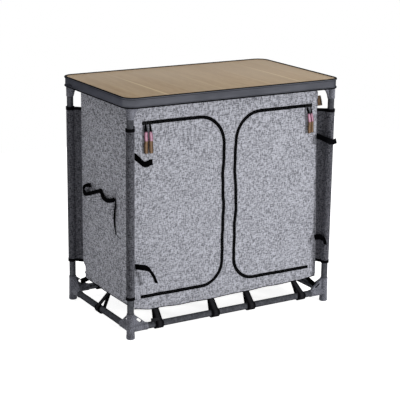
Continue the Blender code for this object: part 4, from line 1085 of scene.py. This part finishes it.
# The pocket's mouth from rear to front: the place along the side, how far it gapes, its height
MOUTH = (
    (0.1205, 0.0010, 0.4395),
    (0.1265, 0.0080, 0.4385),
    (0.1285, 0.0165, 0.4360),
    (0.1265, 0.0235, 0.4300),
    (0.1210, 0.0275, 0.4235),
    (0.1040, 0.0280, 0.4155),
    (0.0760, 0.0150, 0.4250),
    (0.0455, 0.0010, 0.4360),
    (0.0280, 0.0045, 0.4285),
    (0.0100, 0.0080, 0.4225),
    (-0.0180, 0.0115, 0.4215),
    (-0.0480, 0.0135, 0.4265),
    (-0.0580, 0.0075, 0.4300),
    (-0.0612, 0.0010, 0.4340),
)
# A dark cord down the front fold, painted shade of the fold: how far out, the place along the side, its
# height
POCKET_FOLD_SHADE = (
    (0.0016, -0.0640, 0.433),
    (0.0030, -0.0665, 0.410),
    (0.0040, -0.0620, 0.384),
    (0.0036, -0.0600, 0.343),
    (0.0010, -0.0655, 0.312),
)
POCKET_TAIL = ((-0.0655, 0.312), (-0.080, 0.306), (-0.097, 0.3035))
POCKET_BOTTOM, POCKET_REAR, POCKET_FRONT, POCKET_SEAM = 0.300, 0.118, -0.058, 0.0455


def pocket():
    """The bellows pocket: a bound mouth that gapes in two bays, and cloth that runs down from
    it to a straight seam."""
    seat, rows, outward = CABINET_X + 0.0007, 24, Vector((-1, 0, 0))
    mouth = curve_through(MOUTH, 6)
    count = len(mouth)

    def spot(index, share, depth):
        y, gape, top = mouth[index]
        low_y = POCKET_REAR + (POCKET_FRONT - POCKET_REAR) * index / (count - 1)
        seam = math.exp(-((y - POCKET_SEAM) / 0.013) ** 2)
        puff = 0.0045 * math.sin(math.pi * share ** 0.8) * (1 - seam) * smooth_step(gape, 0.0, 0.006)
        crease = 0.0014 * noise.noise(Vector((y * 45, share * 4, 1.3))) * smooth_step(gape, 0.002, 0.012)
        out = seat + max(gape, 0.0) * share ** 1.25 + puff + crease * math.sin(math.pi * share)
        z = POCKET_BOTTOM + (top - POCKET_BOTTOM) * share
        return Vector((-(out + depth), low_y + (y - low_y) * share ** 1.6, z))

    grid = [[(index, row / rows) for index in range(count)] for row in range(rows + 1)]
    made, _ = cloth([grid], spot)
    bag = show("pocket_cloth", made, SIDE_CLOTH, stands_for=("side_pocket",), smooth=60)
    lip = [spot(index, 1.0, 0.0006) - UPRIGHT * 0.0032 for index in range(count)]
    widths = [0.0135 + 0.0060 * math.exp(-((point.y - 0.034) / 0.012) ** 2) for point in lip]
    binding = show("pocket_binding", band(lip, UPRIGHT, widths, 0.0056), WEBBING, smooth=50)
    # The fold's dark cord is painted shade in the pocket's front fold; the tail is a thin dark line beyond
    # it.
    fold = curve_through([Vector((-seat - out, y, z)) for out, y, z in POCKET_FOLD_SHADE], 6)
    radii = [0.0012 + 0.0018 * math.sin(math.pi * share) for share in even(0.0, 1.0, len(fold) - 1)]
    tail = curve_through([Vector((-seat - 0.0002, y, z)) for y, z in POCKET_TAIL], 5)
    cords = gather([round_cord(fold, radii), round_cord(tail, 0.0009)])
    folded = show("pocket_fold_shade", cords, WEBBING, smooth=60)
    rear = [Vector((-seat - 0.0007, y, z))
            for y, z in ((0.119, 0.436), (0.1175, 0.37), (POCKET_REAR, POCKET_BOTTOM))]
    middle = min(range(count), key=lambda index: abs(mouth[index][0] - POCKET_SEAM))
    seam = [spot(middle, row / rows, 0.0013) for row in range(1, rows)]
    low = [spot(index, 0.02, 0.0013) for index in range(count)]
    sewn = gather([stitches(route, outward) for route in (curve_through(rear, 8), seam, low)])
    threads = show("pocket_stitches", sewn, DARK_THREAD)
    length = sum((b - a).length for a, b in zip(lip, lip[1:]))


# Rigid frame and worktop

# The rim's channel between its beads: how far in, and how far from the rim's top or bottom
CHANNEL = [(0.0001, 0.0050), (0.0018, 0.0066), (0.0030, 0.0076)]


def rounded(inset, z):
    """The worktop's outline with its round corners, moved in by an inset."""
    points = []
    for side_x, side_y, start in ((1, 1, 0), (-1, 1, 90), (-1, -1, 180), (1, -1, 270)):
        centre = (side_x * (HALF_WIDTH - RIM_CORNER), side_y * (HALF_DEPTH - RIM_CORNER))
        points += arc(centre, RIM_CORNER - inset, start, start + 90, 14)
    return [Vector((x, y, z)) for x, y in points]


def rim_and_board():
    """The beaded rim with its inner ledge, and the board that lies on the ledge."""
    bottom = HEIGHT - RIM_HEIGHT
    bead, lip, wall, ledge = 0.0027, 0.0062, 0.0044, 0.0095
    profile = [(lip, HEIGHT)] + arc((bead, HEIGHT - bead), bead, 90, 180, 6)
    profile += [(inset, HEIGHT - down) for inset, down in CHANNEL]
    profile += [(inset, bottom + up) for inset, up in reversed(CHANNEL)]
    profile += arc((bead, bottom + bead), bead, 180, 270, 6)
    profile += [(wall, bottom), (wall, 0.7889), (ledge, 0.7889), (ledge, 0.7907)]
    profile += [(wall, 0.7907), (wall, 0.7940), (lip, 0.7950)]
    rings = [rounded(inset, z) for inset, z in profile]
    marks = []
    for (inset, z), (_, following) in zip(profile, profile[1:] + profile[:1]):
        height = (z + following) / 2
        # Dark trim on the top and the inner lip; the lower bead is painted dark as the shadow under the rim.
        trim_and_shade = height > HEIGHT - 0.0021 or height < bottom + 0.0042 or inset == lip
        marks += [int(trim_and_shade)] * len(rings[0])
    made = (*loft(rings, closed=True), None, marks)
    show("rim", made, (RIM, RIM_TRIM_AND_SHADE), "worktop", ("worktop_rim",), 32)
    edge, face = 0.0064, BOARD_TOP - 0.0012
    profile = ((edge, BOARD_BOTTOM), (edge, face - 0.0012), (edge + 0.0004, face - 0.0004),
               (edge + 0.0012, face))
    made = loft([rounded(inset, z) for inset, z in profile])
    show("board", made, WOOD, "worktop", ("worktop_board",), 50)


def tube(start, end):
    """A hollow tube between two points, with eased ends."""
    eased, inner = 0.0004, TUBE_RADIUS - TUBE_WALL
    along = (end - start).normalized()
    first = along.orthogonal().normalized()
    stations = (
        (start, TUBE_RADIUS - eased),
        (start + along * eased, TUBE_RADIUS),
        (end - along * eased, TUBE_RADIUS),
        (end, TUBE_RADIUS - eased),
        (end, inner),
        (start, inner),
    )
    return loft([circle(at, first, along.cross(first), size, 36) for at, size in stations], closed=True)


def tubes():
    """The legs and rails, each seated in its two connectors."""
    seat = CONNECTOR_HEART + CLEARANCE
    spans = {}
    for corner, side_x, side_y, _ in CORNERS:
        x, y = side_x * LEG_X, side_y * LEG_Y
        spans[f"leg_{corner}"] = ((x, y, BOTTOM_RAIL + seat), (x, y, TOP_RAIL - seat))
    for level, z in (("bottom", BOTTOM_RAIL), ("top", TOP_RAIL)):
        for label, side in ENDS:
            y = side * LEG_Y
            spans[f"{level}_rail_{label}"] = ((seat - LEG_X, y, z), (LEG_X - seat, y, z))
        for label, side in SIDES:
            x = side * LEG_X
            spans[f"{level}_rail_{label}"] = ((x, seat - LEG_Y, z), (x, LEG_Y - seat, z))
    for node, (start, end) in spans.items():
        show(f"{node}_tube", tube(Vector(start), Vector(end)), COAT, stands_for=(node,), smooth=40)


# For each axis its direction and the two directions across it
AXES = {
    "X": (Vector((1, 0, 0)), Vector((0, 0, -1)), Vector((0, 1, 0))),
    "Y": (Vector((0, 1, 0)), Vector((1, 0, 0)), Vector((0, 0, -1))),
    "Z": (Vector((0, 0, 1)), Vector((1, 0, 0)), Vector((0, 1, 0))),
}


def turned(profile, axis="Z"):
    """A body turned about an axis from (radius, height) points."""
    along, first, second = AXES[axis]
    return loft([circle(along * height, first, second, radius, 40) for radius, height in profile])


def web(outline, half, across):
    """A flat web cut to an outline in (out, up), with its thickness across an axis."""
    layers = []
    for depth in (-half, half):
        places = [(out, depth, up) if across == "Y" else (depth, out, up) for out, up in outline]
        layers.append([Vector(place) for place in places])
    return loft(layers)


def carved(name, first, added, removed):
    """One mesh from a first body, bodies fused on and bodies cut away."""
    helpers = []

    def hidden(made):
        item = bpy.data.objects.new("helper", mesh_from("helper", *made))
        bpy.context.scene.collection.objects.link(item)
        item.hide_render = True
        helpers.append(item)
        return item

    main = hidden(first)
    for operation, bodies in (("UNION", added), ("DIFFERENCE", removed)):
        for made in bodies:
            cut = main.modifiers.new(operation, "BOOLEAN")
            cut.operation = operation
            cut.solver = "EXACT"
            cut.object = hidden(made)
    bpy.context.view_layer.update()
    mesh = bpy.data.meshes.new_from_object(main.evaluated_get(bpy.context.evaluated_depsgraph_get()))
    mesh.name = name
    for item in helpers:
        bpy.data.objects.remove(item)
    return mesh


def web_outline(sign, leg_side, rail_side):
    """A web's outline in (out, up). The upper one, with sign -1, has a hollowed long edge."""
    radius, inside = SOCKET_RADIUS, SOCKET_RADIUS - 0.003
    edge = []
    for share in even(0.0, 1.0, 8)[1:-1] if sign < 0 else ():
        turn = math.radians(90 * share)
        round_out = rail_side - (rail_side - radius) * math.sin(turn)
        round_up = leg_side - (leg_side - radius) * math.cos(turn)
        edge.append((0.65 * round_out + 0.35 * (rail_side + (radius - rail_side) * share),
                     sign * (0.65 * round_up + 0.35 * (radius + (leg_side - radius) * share))))
    start = [(inside, sign * inside), (rail_side, sign * inside), (rail_side, sign * radius)]
    return start + edge + [(radius, sign * leg_side), (inside, sign * leg_side)]


def slot_outline(leg_side, rail_side):
    """The slanted webbing slot that leaves a rib along a lower web's long edge."""
    high, low = Vector((SOCKET_RADIUS, leg_side)), Vector((rail_side, SOCKET_RADIUS))
    along = (low - high).normalized()
    inward = Vector((along.y, -along.x))
    middle = (high + low) / 2 + inward * (SLOT_RIB + SLOT_WIDTH / 2)
    slant = math.degrees(math.atan2(along.y, along.x))
    run = along * (SLOT_LENGTH - SLOT_WIDTH) / 2
    outline = arc(middle + run, SLOT_WIDTH / 2, slant - 90, slant + 90, 8)
    return outline + arc(middle - run, SLOT_WIDTH / 2, slant + 90, slant + 270, 8)


def connector(name, sign, socket_end, leg_side, rail_side):
    """A three-way corner with its leg socket along Z and rail sockets along +X and +Y. The
    lower one, with sign 1, has a foot and slotted webs."""
    radius, mouth, collar, past = SOCKET_RADIUS, SOCKET_RADIUS - 0.0006, 0.0060, 0.004
    profile = [(mouth, sign * socket_end), (mouth + 0.0002, sign * (socket_end - collar)),
               (mouth - 0.0003, sign * (socket_end - collar - 0.0006)), (radius - 0.0002, 0)]
    if sign > 0:
        top = FOOT_HEIGHT - BOTTOM_RAIL
        profile += [(radius, top), (FOOT_RADIUS, top), (FOOT_RADIUS, FOOT_EASE - BOTTOM_RAIL),
                    (FOOT_RADIUS - FOOT_EASE, -BOTTOM_RAIL)]
    else:
        profile.append((radius, radius))
    arm = [(mouth - 0.0001, 0.003), (mouth - 0.0004, CONNECTOR_REACH - collar - 0.0006),
           (mouth, CONNECTOR_REACH - collar), (mouth, CONNECTOR_REACH)]
    added = []
    removed = [turned([(BORE_RADIUS, sign * CONNECTOR_HEART), (BORE_RADIUS, sign * (socket_end + past))])]
    for axis, across in (("X", "Y"), ("Y", "X")):
        added.append(turned(arm, axis))
        added.append(web(web_outline(sign, leg_side, rail_side), 0.004, across))
        bore = [(BORE_RADIUS, CONNECTOR_HEART), (BORE_RADIUS, CONNECTOR_REACH + past)]
        removed.append(turned(bore, axis))
        if sign > 0:
            removed.append(web(slot_outline(leg_side, rail_side), 0.008, across))
    return carved(name, turned(profile), added, removed)


def connectors():
    """The eight corner connectors, each turned into its corner."""
    lower = connector("lower_corner", 1, socket_end=0.051, leg_side=0.047, rail_side=0.055)
    upper = connector("upper_corner", -1, socket_end=0.046, leg_side=0.042, rail_side=0.031)
    for corner, side_x, side_y, turn in CORNERS:
        spin = Matrix.Rotation(math.radians(turn), 4, "Z")
        for label, source, z in (("bottom", lower, BOTTOM_RAIL), ("top", upper, TOP_RAIL)):
            mesh = source.copy()
            mesh.transform(Matrix.Translation((side_x * LEG_X, side_y * LEG_Y, z)) @ spin)
            nodes = (f"{label}_connector_{corner}",)
            item = show(f"{label}_corner_{corner}", mesh, PLASTIC, stands_for=nodes, smooth=35)
            ease(item, width=0.0006, segments=2, angle=40)


# Inside

INSIDE_FRONT, INSIDE_REAR, INSIDE_END = -INNER_Y + 0.0063, INNER_Y - CLEARANCE, INNER_X - CLEARANCE


def boards():
    """The floor and the shelves: stiff boards covered in cloth, with a slightly uneven top that
    falls off at its edges."""
    gap = 0.0018
    rows = [("cabinet_floor", -INSIDE_END, INSIDE_END, -INSIDE_REAR, FLOOR_BOTTOM, FLOOR_TOP)]
    for label, low_x, high_x in (("left", -INSIDE_END, -gap), ("right", gap, INSIDE_END)):
        rows.append((f"shelf_{label}", low_x, high_x, INSIDE_FRONT, SHELF_BOTTOM, SHELF_TOP))
    for node, low_x, high_x, low_y, low_z, high_z in rows:
        low, high = Vector((low_x, low_y, low_z)), Vector((high_x, INSIDE_REAR, high_z))
        shape = bmesh.new()
        bmesh.ops.create_cube(shape, size=1.0)
        bmesh.ops.scale(shape, verts=shape.verts, vec=high - low)
        bmesh.ops.translate(shape, verts=shape.verts, vec=(low + high) / 2)
        bmesh.ops.subdivide_edges(shape, edges=shape.edges, cuts=12, use_grid_fill=True)
        for point in shape.verts:
            x, y, z = point.co
            if z > (low_z + high_z) / 2:
                edge = min(x - low.x, high.x - x, y - low.y, high.y - y)
                point.co.z -= 0.0006 * (1 - smooth_step(edge, 0.0, 0.01))
                point.co.z -= 0.0005 * (0.5 + 0.5 * noise.noise(Vector((x * 11, y * 11, 0.4))))
        mesh = bpy.data.meshes.new(node)
        shape.to_mesh(mesh)
        shape.free()
        item = show(f"{node}_board", mesh, BOARD_CLOTH, stands_for=(node,), smooth=40)
        ease(item, width=0.0012, segments=3)


def divider():
    """The cloth wall between the two halves of the cabinet."""
    low, high = FLOOR_TOP + CLEARANCE, 0.760

    def wall(a, z, depth):
        return Vector((0.0006 - depth + 0.0006 * noise.noise(Vector((a * 9, 2.0, z * 7))), a, z))

    grid = [[(y, z) for y in spaced(INSIDE_FRONT, INSIDE_REAR, 0.015)] for z in spaced(low, high, 0.015)]
    made, _ = cloth([grid], wall)
    item = show("divider_cloth", made, LIGHT_CLOTH, stands_for=("cabinet_divider",), smooth=40)


# Pulls, tab and sliders

# How each pull hangs: its lean, its width and length against the usual, and how far forward
PULLS = {
    "left_outer": (0.0028, 1.28, 1.0, 0.0),
    "left_inner": (0.0028, 1.28, 1.0, 0.0036),
    "right_outer": (0.0088, 0.92, 0.955, 0.0),
    "right_inner": (0.0112, 1.24, 0.965, 0.0036),
}
# A pull's two leathers: low and high end, width at the top and below, and thickness
LEATHERS = (
    ("keeper", ROSE_LEATHER, -0.0580, -0.0275, 0.0064, 0.0098, 0.0031),
    ("tab", BROWN_LEATHER, -0.0985, -0.0560, 0.0106, 0.0112, 0.0025),
)


def raw_edged(rings, uvs, raw_steps):
    """A leather strip whose ends, and whose faces at some steps round its section, are raw."""
    marks = [int(step in raw_steps) for _ in rings[1:] for step in range(8)] + [1, 1]
    return (*loft(rings), uvs, marks)


def pull(start, x):
    """A pull: a black cord through the bridge, a rose keeper, and a folded brown tab."""
    name, body = f"{start}_pull_made", f"{start}_pull_body"
    lean, wide, long, before = PULLS[start]
    centre = Vector((x, PULL_AXIS_Y, ZIP_TOP))
    neck, cuff_top, bend = -0.0300, -0.0050, 0.0026

    def hang(a, b, z):
        forward = before * smooth_step(-z, 0.004, 0.026)
        return centre + Vector((a + lean * smooth_step(-z, 0.0, 0.062), b - forward, z * long))

    leg = [(0.0012, neck), (0.0014, -0.020), (0.0024, -0.007)]
    flat = leg + arc((0, 0), bend, -20, 200, 12) + [(-y, z) for y, z in reversed(leg)]
    cord = round_cord([hang(0, y, z) for y, z in flat], 0.0010, 10)
    show(f"{name}_cord", cord, WEBBING, body, smooth=60)
    rings = []
    for share in even(0.0, 1.0, 8):
        half, z = (0.0022 + 0.0022 * share) * wide, cuff_top + (neck - cuff_top) * share
        rings.append([hang(a * half, b * 0.0012, z) for a, b in section(0.7, 0.4)])
    show(f"{name}_cuff", loft(rings), WEBBING, body, smooth=50)
    for word, material, low, high, top_width, width, thick in LEATHERS:
        rings, uvs = [], []
        for z in spaced(high, low, 0.0022):
            share = (high - z) / (high - low)
            half = (top_width + (width - top_width) * smooth_step(share, 0.0, 0.22)) * wide / 2
            half *= 0.80 + 0.20 * smooth_step(z - low, 0.0, 0.0022)
            sway = 0.0007 * math.sin(share * 4 + x * 90)
            rings.append([hang(a * half + sway, b * thick / 2, z) for a, b in section(0.9, 0.55)])
            uvs += [(a, z) for a, _ in section(0.9, 0.55)]
        nodes = (f"{start}_pull",) if word == "tab" else ()
        show(f"{name}_{word}", raw_edged(rings, uvs, (3, 7)), (material, RAW_EDGE), body, nodes, 50)
    corners = ((-0.0036, -0.0600), (-0.0036, -0.0950), (0.0036, -0.0950), (0.0036, -0.0600))
    route = [hang(a, -0.00130, z) for a, z in corners]
    sewn = stitches(route, OUT_FRONT, length=0.0022, gap=0.0010, half=0.00022, lift=0.00018)
    show(f"{name}_stitches", sewn, TAN_THREAD, body)


def pulls():
    """The four pulls, two on each zip."""
    for label, side in SIDES:
        for word, place in (("outer", OUTER_SLIDER), ("inner", INNER_SLIDER)):
            pull(f"{label}_{word}", side * place)


def leather_tab():
    """The tab at the front right corner seam: a strip that flares downwards, with raw edges."""
    top, low, thick, eased, bevel = 0.7360, 0.7010, 0.0022, 0.0003, 0.0006
    rings, uvs = [], []
    for share in even(0.0, 1.0, 10):
        z = top + (low - top) * share
        root = CABINET_X + right_lean(z) - 0.0010
        reach = 0.0140 + 0.0085 * share
        front = -CABINET_Y - 0.0012 * math.sin(math.pi * share)
        near = [(0.0, eased), (bevel, 0.0), (reach - bevel, 0.0), (reach, eased)]
        ring = near + [(a, thick - b) for a, b in reversed(near)]
        rings.append([Vector((root + a, front + b, z)) for a, b in ring])
        uvs += [(2 * a / reach - 1, z) for a, _ in ring]
    made = raw_edged(rings, uvs, (3,))
    show("corner_tab", made, (BROWN_LEATHER, RAW_EDGE), stands_for=("leather_tab",), smooth=50)
    corners = ((0.0030, 0.7335), (0.0125, 0.7335), (0.0175, 0.7040), (0.0030, 0.7040))
    route = [Vector((CABINET_X - 0.0045 + a, -CABINET_Y - 0.0012, z)) for a, z in corners]
    sewn = stitches(route, OUT_FRONT, length=0.0024, gap=0.0011, half=0.00024, lift=0.0002)
    show("corner_tab_stitches", sewn, TAN_THREAD)


def carried_over():
    """Enamel and eased edges for the CAD's sliders, which stay in view."""
    for name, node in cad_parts.items():
        if "slider" in name:
            node.data.materials.clear()
            node.data.materials.append(SLIDER)
            ease(node, width=0.0003, segments=2)


# Camera, floor and light


def camera():
    """A camera at the photograph's angle. The focal length is for a photograph 400 pixels wide."""
    azimuth, elevation, roll = math.radians(-30.80), math.radians(15.40), math.radians(0.72)
    distance, focal, photo_width, sensor = 4.4147, 1269.0, 400, 36
    target = Vector((0.0020, 0.0, 0.3657))
    level = math.cos(elevation)
    back = Vector((math.sin(azimuth) * level, -math.cos(azimuth) * level, math.sin(elevation)))
    right = UPRIGHT.cross(back).normalized()
    up = back.cross(right)
    rolled_right = right * math.cos(roll) + up * math.sin(roll)
    rolled_up = up * math.cos(roll) - right * math.sin(roll)
    data = bpy.data.cameras.new("camera")
    data.lens = focal / photo_width * sensor
    data.sensor_width = sensor
    data.clip_end = 60
    item = bpy.data.objects.new("camera", data)
    turn = Matrix((rolled_right, rolled_up, back)).transposed().to_4x4()
    item.matrix_world = Matrix.Translation(target + back * distance) @ turn
    bpy.context.scene.collection.objects.link(item)
    bpy.context.scene.camera = item


def stage():
    """A pale floor that glows and a world that is white only where they are seen directly."""
    half, white = 2.4, (1, 1, 1, 1)
    mesh = bpy.data.meshes.new("floor")
    corners = [(-half, -half, 0), (half, -half, 0), (half, half, 0), (-half, half, 0)]
    mesh.from_pydata(corners, [], [(0, 1, 2, 3)])
    floor = bpy.data.objects.new("floor", mesh)
    bpy.context.scene.collection.objects.link(floor)
    w = Wiring("pale_floor", 0.9, specular=0.1)
    w.finish(w.blend(w.remap(w.noise(w.place(), 3.0), 0.3, 0.7), (0.86, 0.86, 0.86), (0.88, 0.88, 0.88)))
    lit = w.shader.outputs[0]
    glow = w.add("ShaderNodeEmission", {"Color": white, "Strength": 0.84})
    both = w.add("ShaderNodeAddShader", {0: lit, 1: glow})
    seen = w.mixed_shader(w.seen_directly(), lit, both)
    w.put(w.tree.nodes["Material Output"].inputs["Surface"], seen)
    mesh.materials.append(w.material)

    world = bpy.data.worlds.new("world")
    bpy.context.scene.world = world
    world.use_nodes = True
    world.node_tree.nodes.clear()
    w = Nodes(world.node_tree)
    dim = w.add("ShaderNodeBackground", {"Color": white, "Strength": 0.37})
    bright = w.add("ShaderNodeBackground", {"Color": white, "Strength": 1.0})
    output = w.tree.nodes.new("ShaderNodeOutputWorld")
    w.put(output.inputs["Surface"], w.mixed_shader(w.seen_directly(), dim, bright))


def lamp(name, place, aim, size, power):
    """A round soft lamp that doesn't show in gloss."""
    data = bpy.data.lights.new(name, "AREA")
    data.shape = "DISK"
    data.size = size
    data.energy = power
    item = bpy.data.objects.new(name, data)
    item.location = place
    item.rotation_euler = (Vector(aim) - Vector(place)).to_track_quat("-Z", "Y").to_euler()
    item.visible_glossy = False
    bpy.context.scene.collection.objects.link(item)


camera()
stage()
lamp("key", (3.0, -4.3, 1.3), (0, 0, 0.42), size=1.1, power=160)
lamp("fill", (-3.2, -1.6, 1.6), (0, 0, 0.4), size=2.5, power=4.5)
lamp("top", (0.2, 0.5, 3.6), (0, 0, 0.6), size=2.6, power=37)
front_panel()
doors()
zips()
plain_panels()
edge_seams()
loops()
corner_stays()
ties()
sleeves()
pocket()
rim_and_board()
tubes()
connectors()
boards()
divider()
pulls()
leather_tab()
carried_over()

bpy.context.scene.view_settings.view_transform = "Standard"
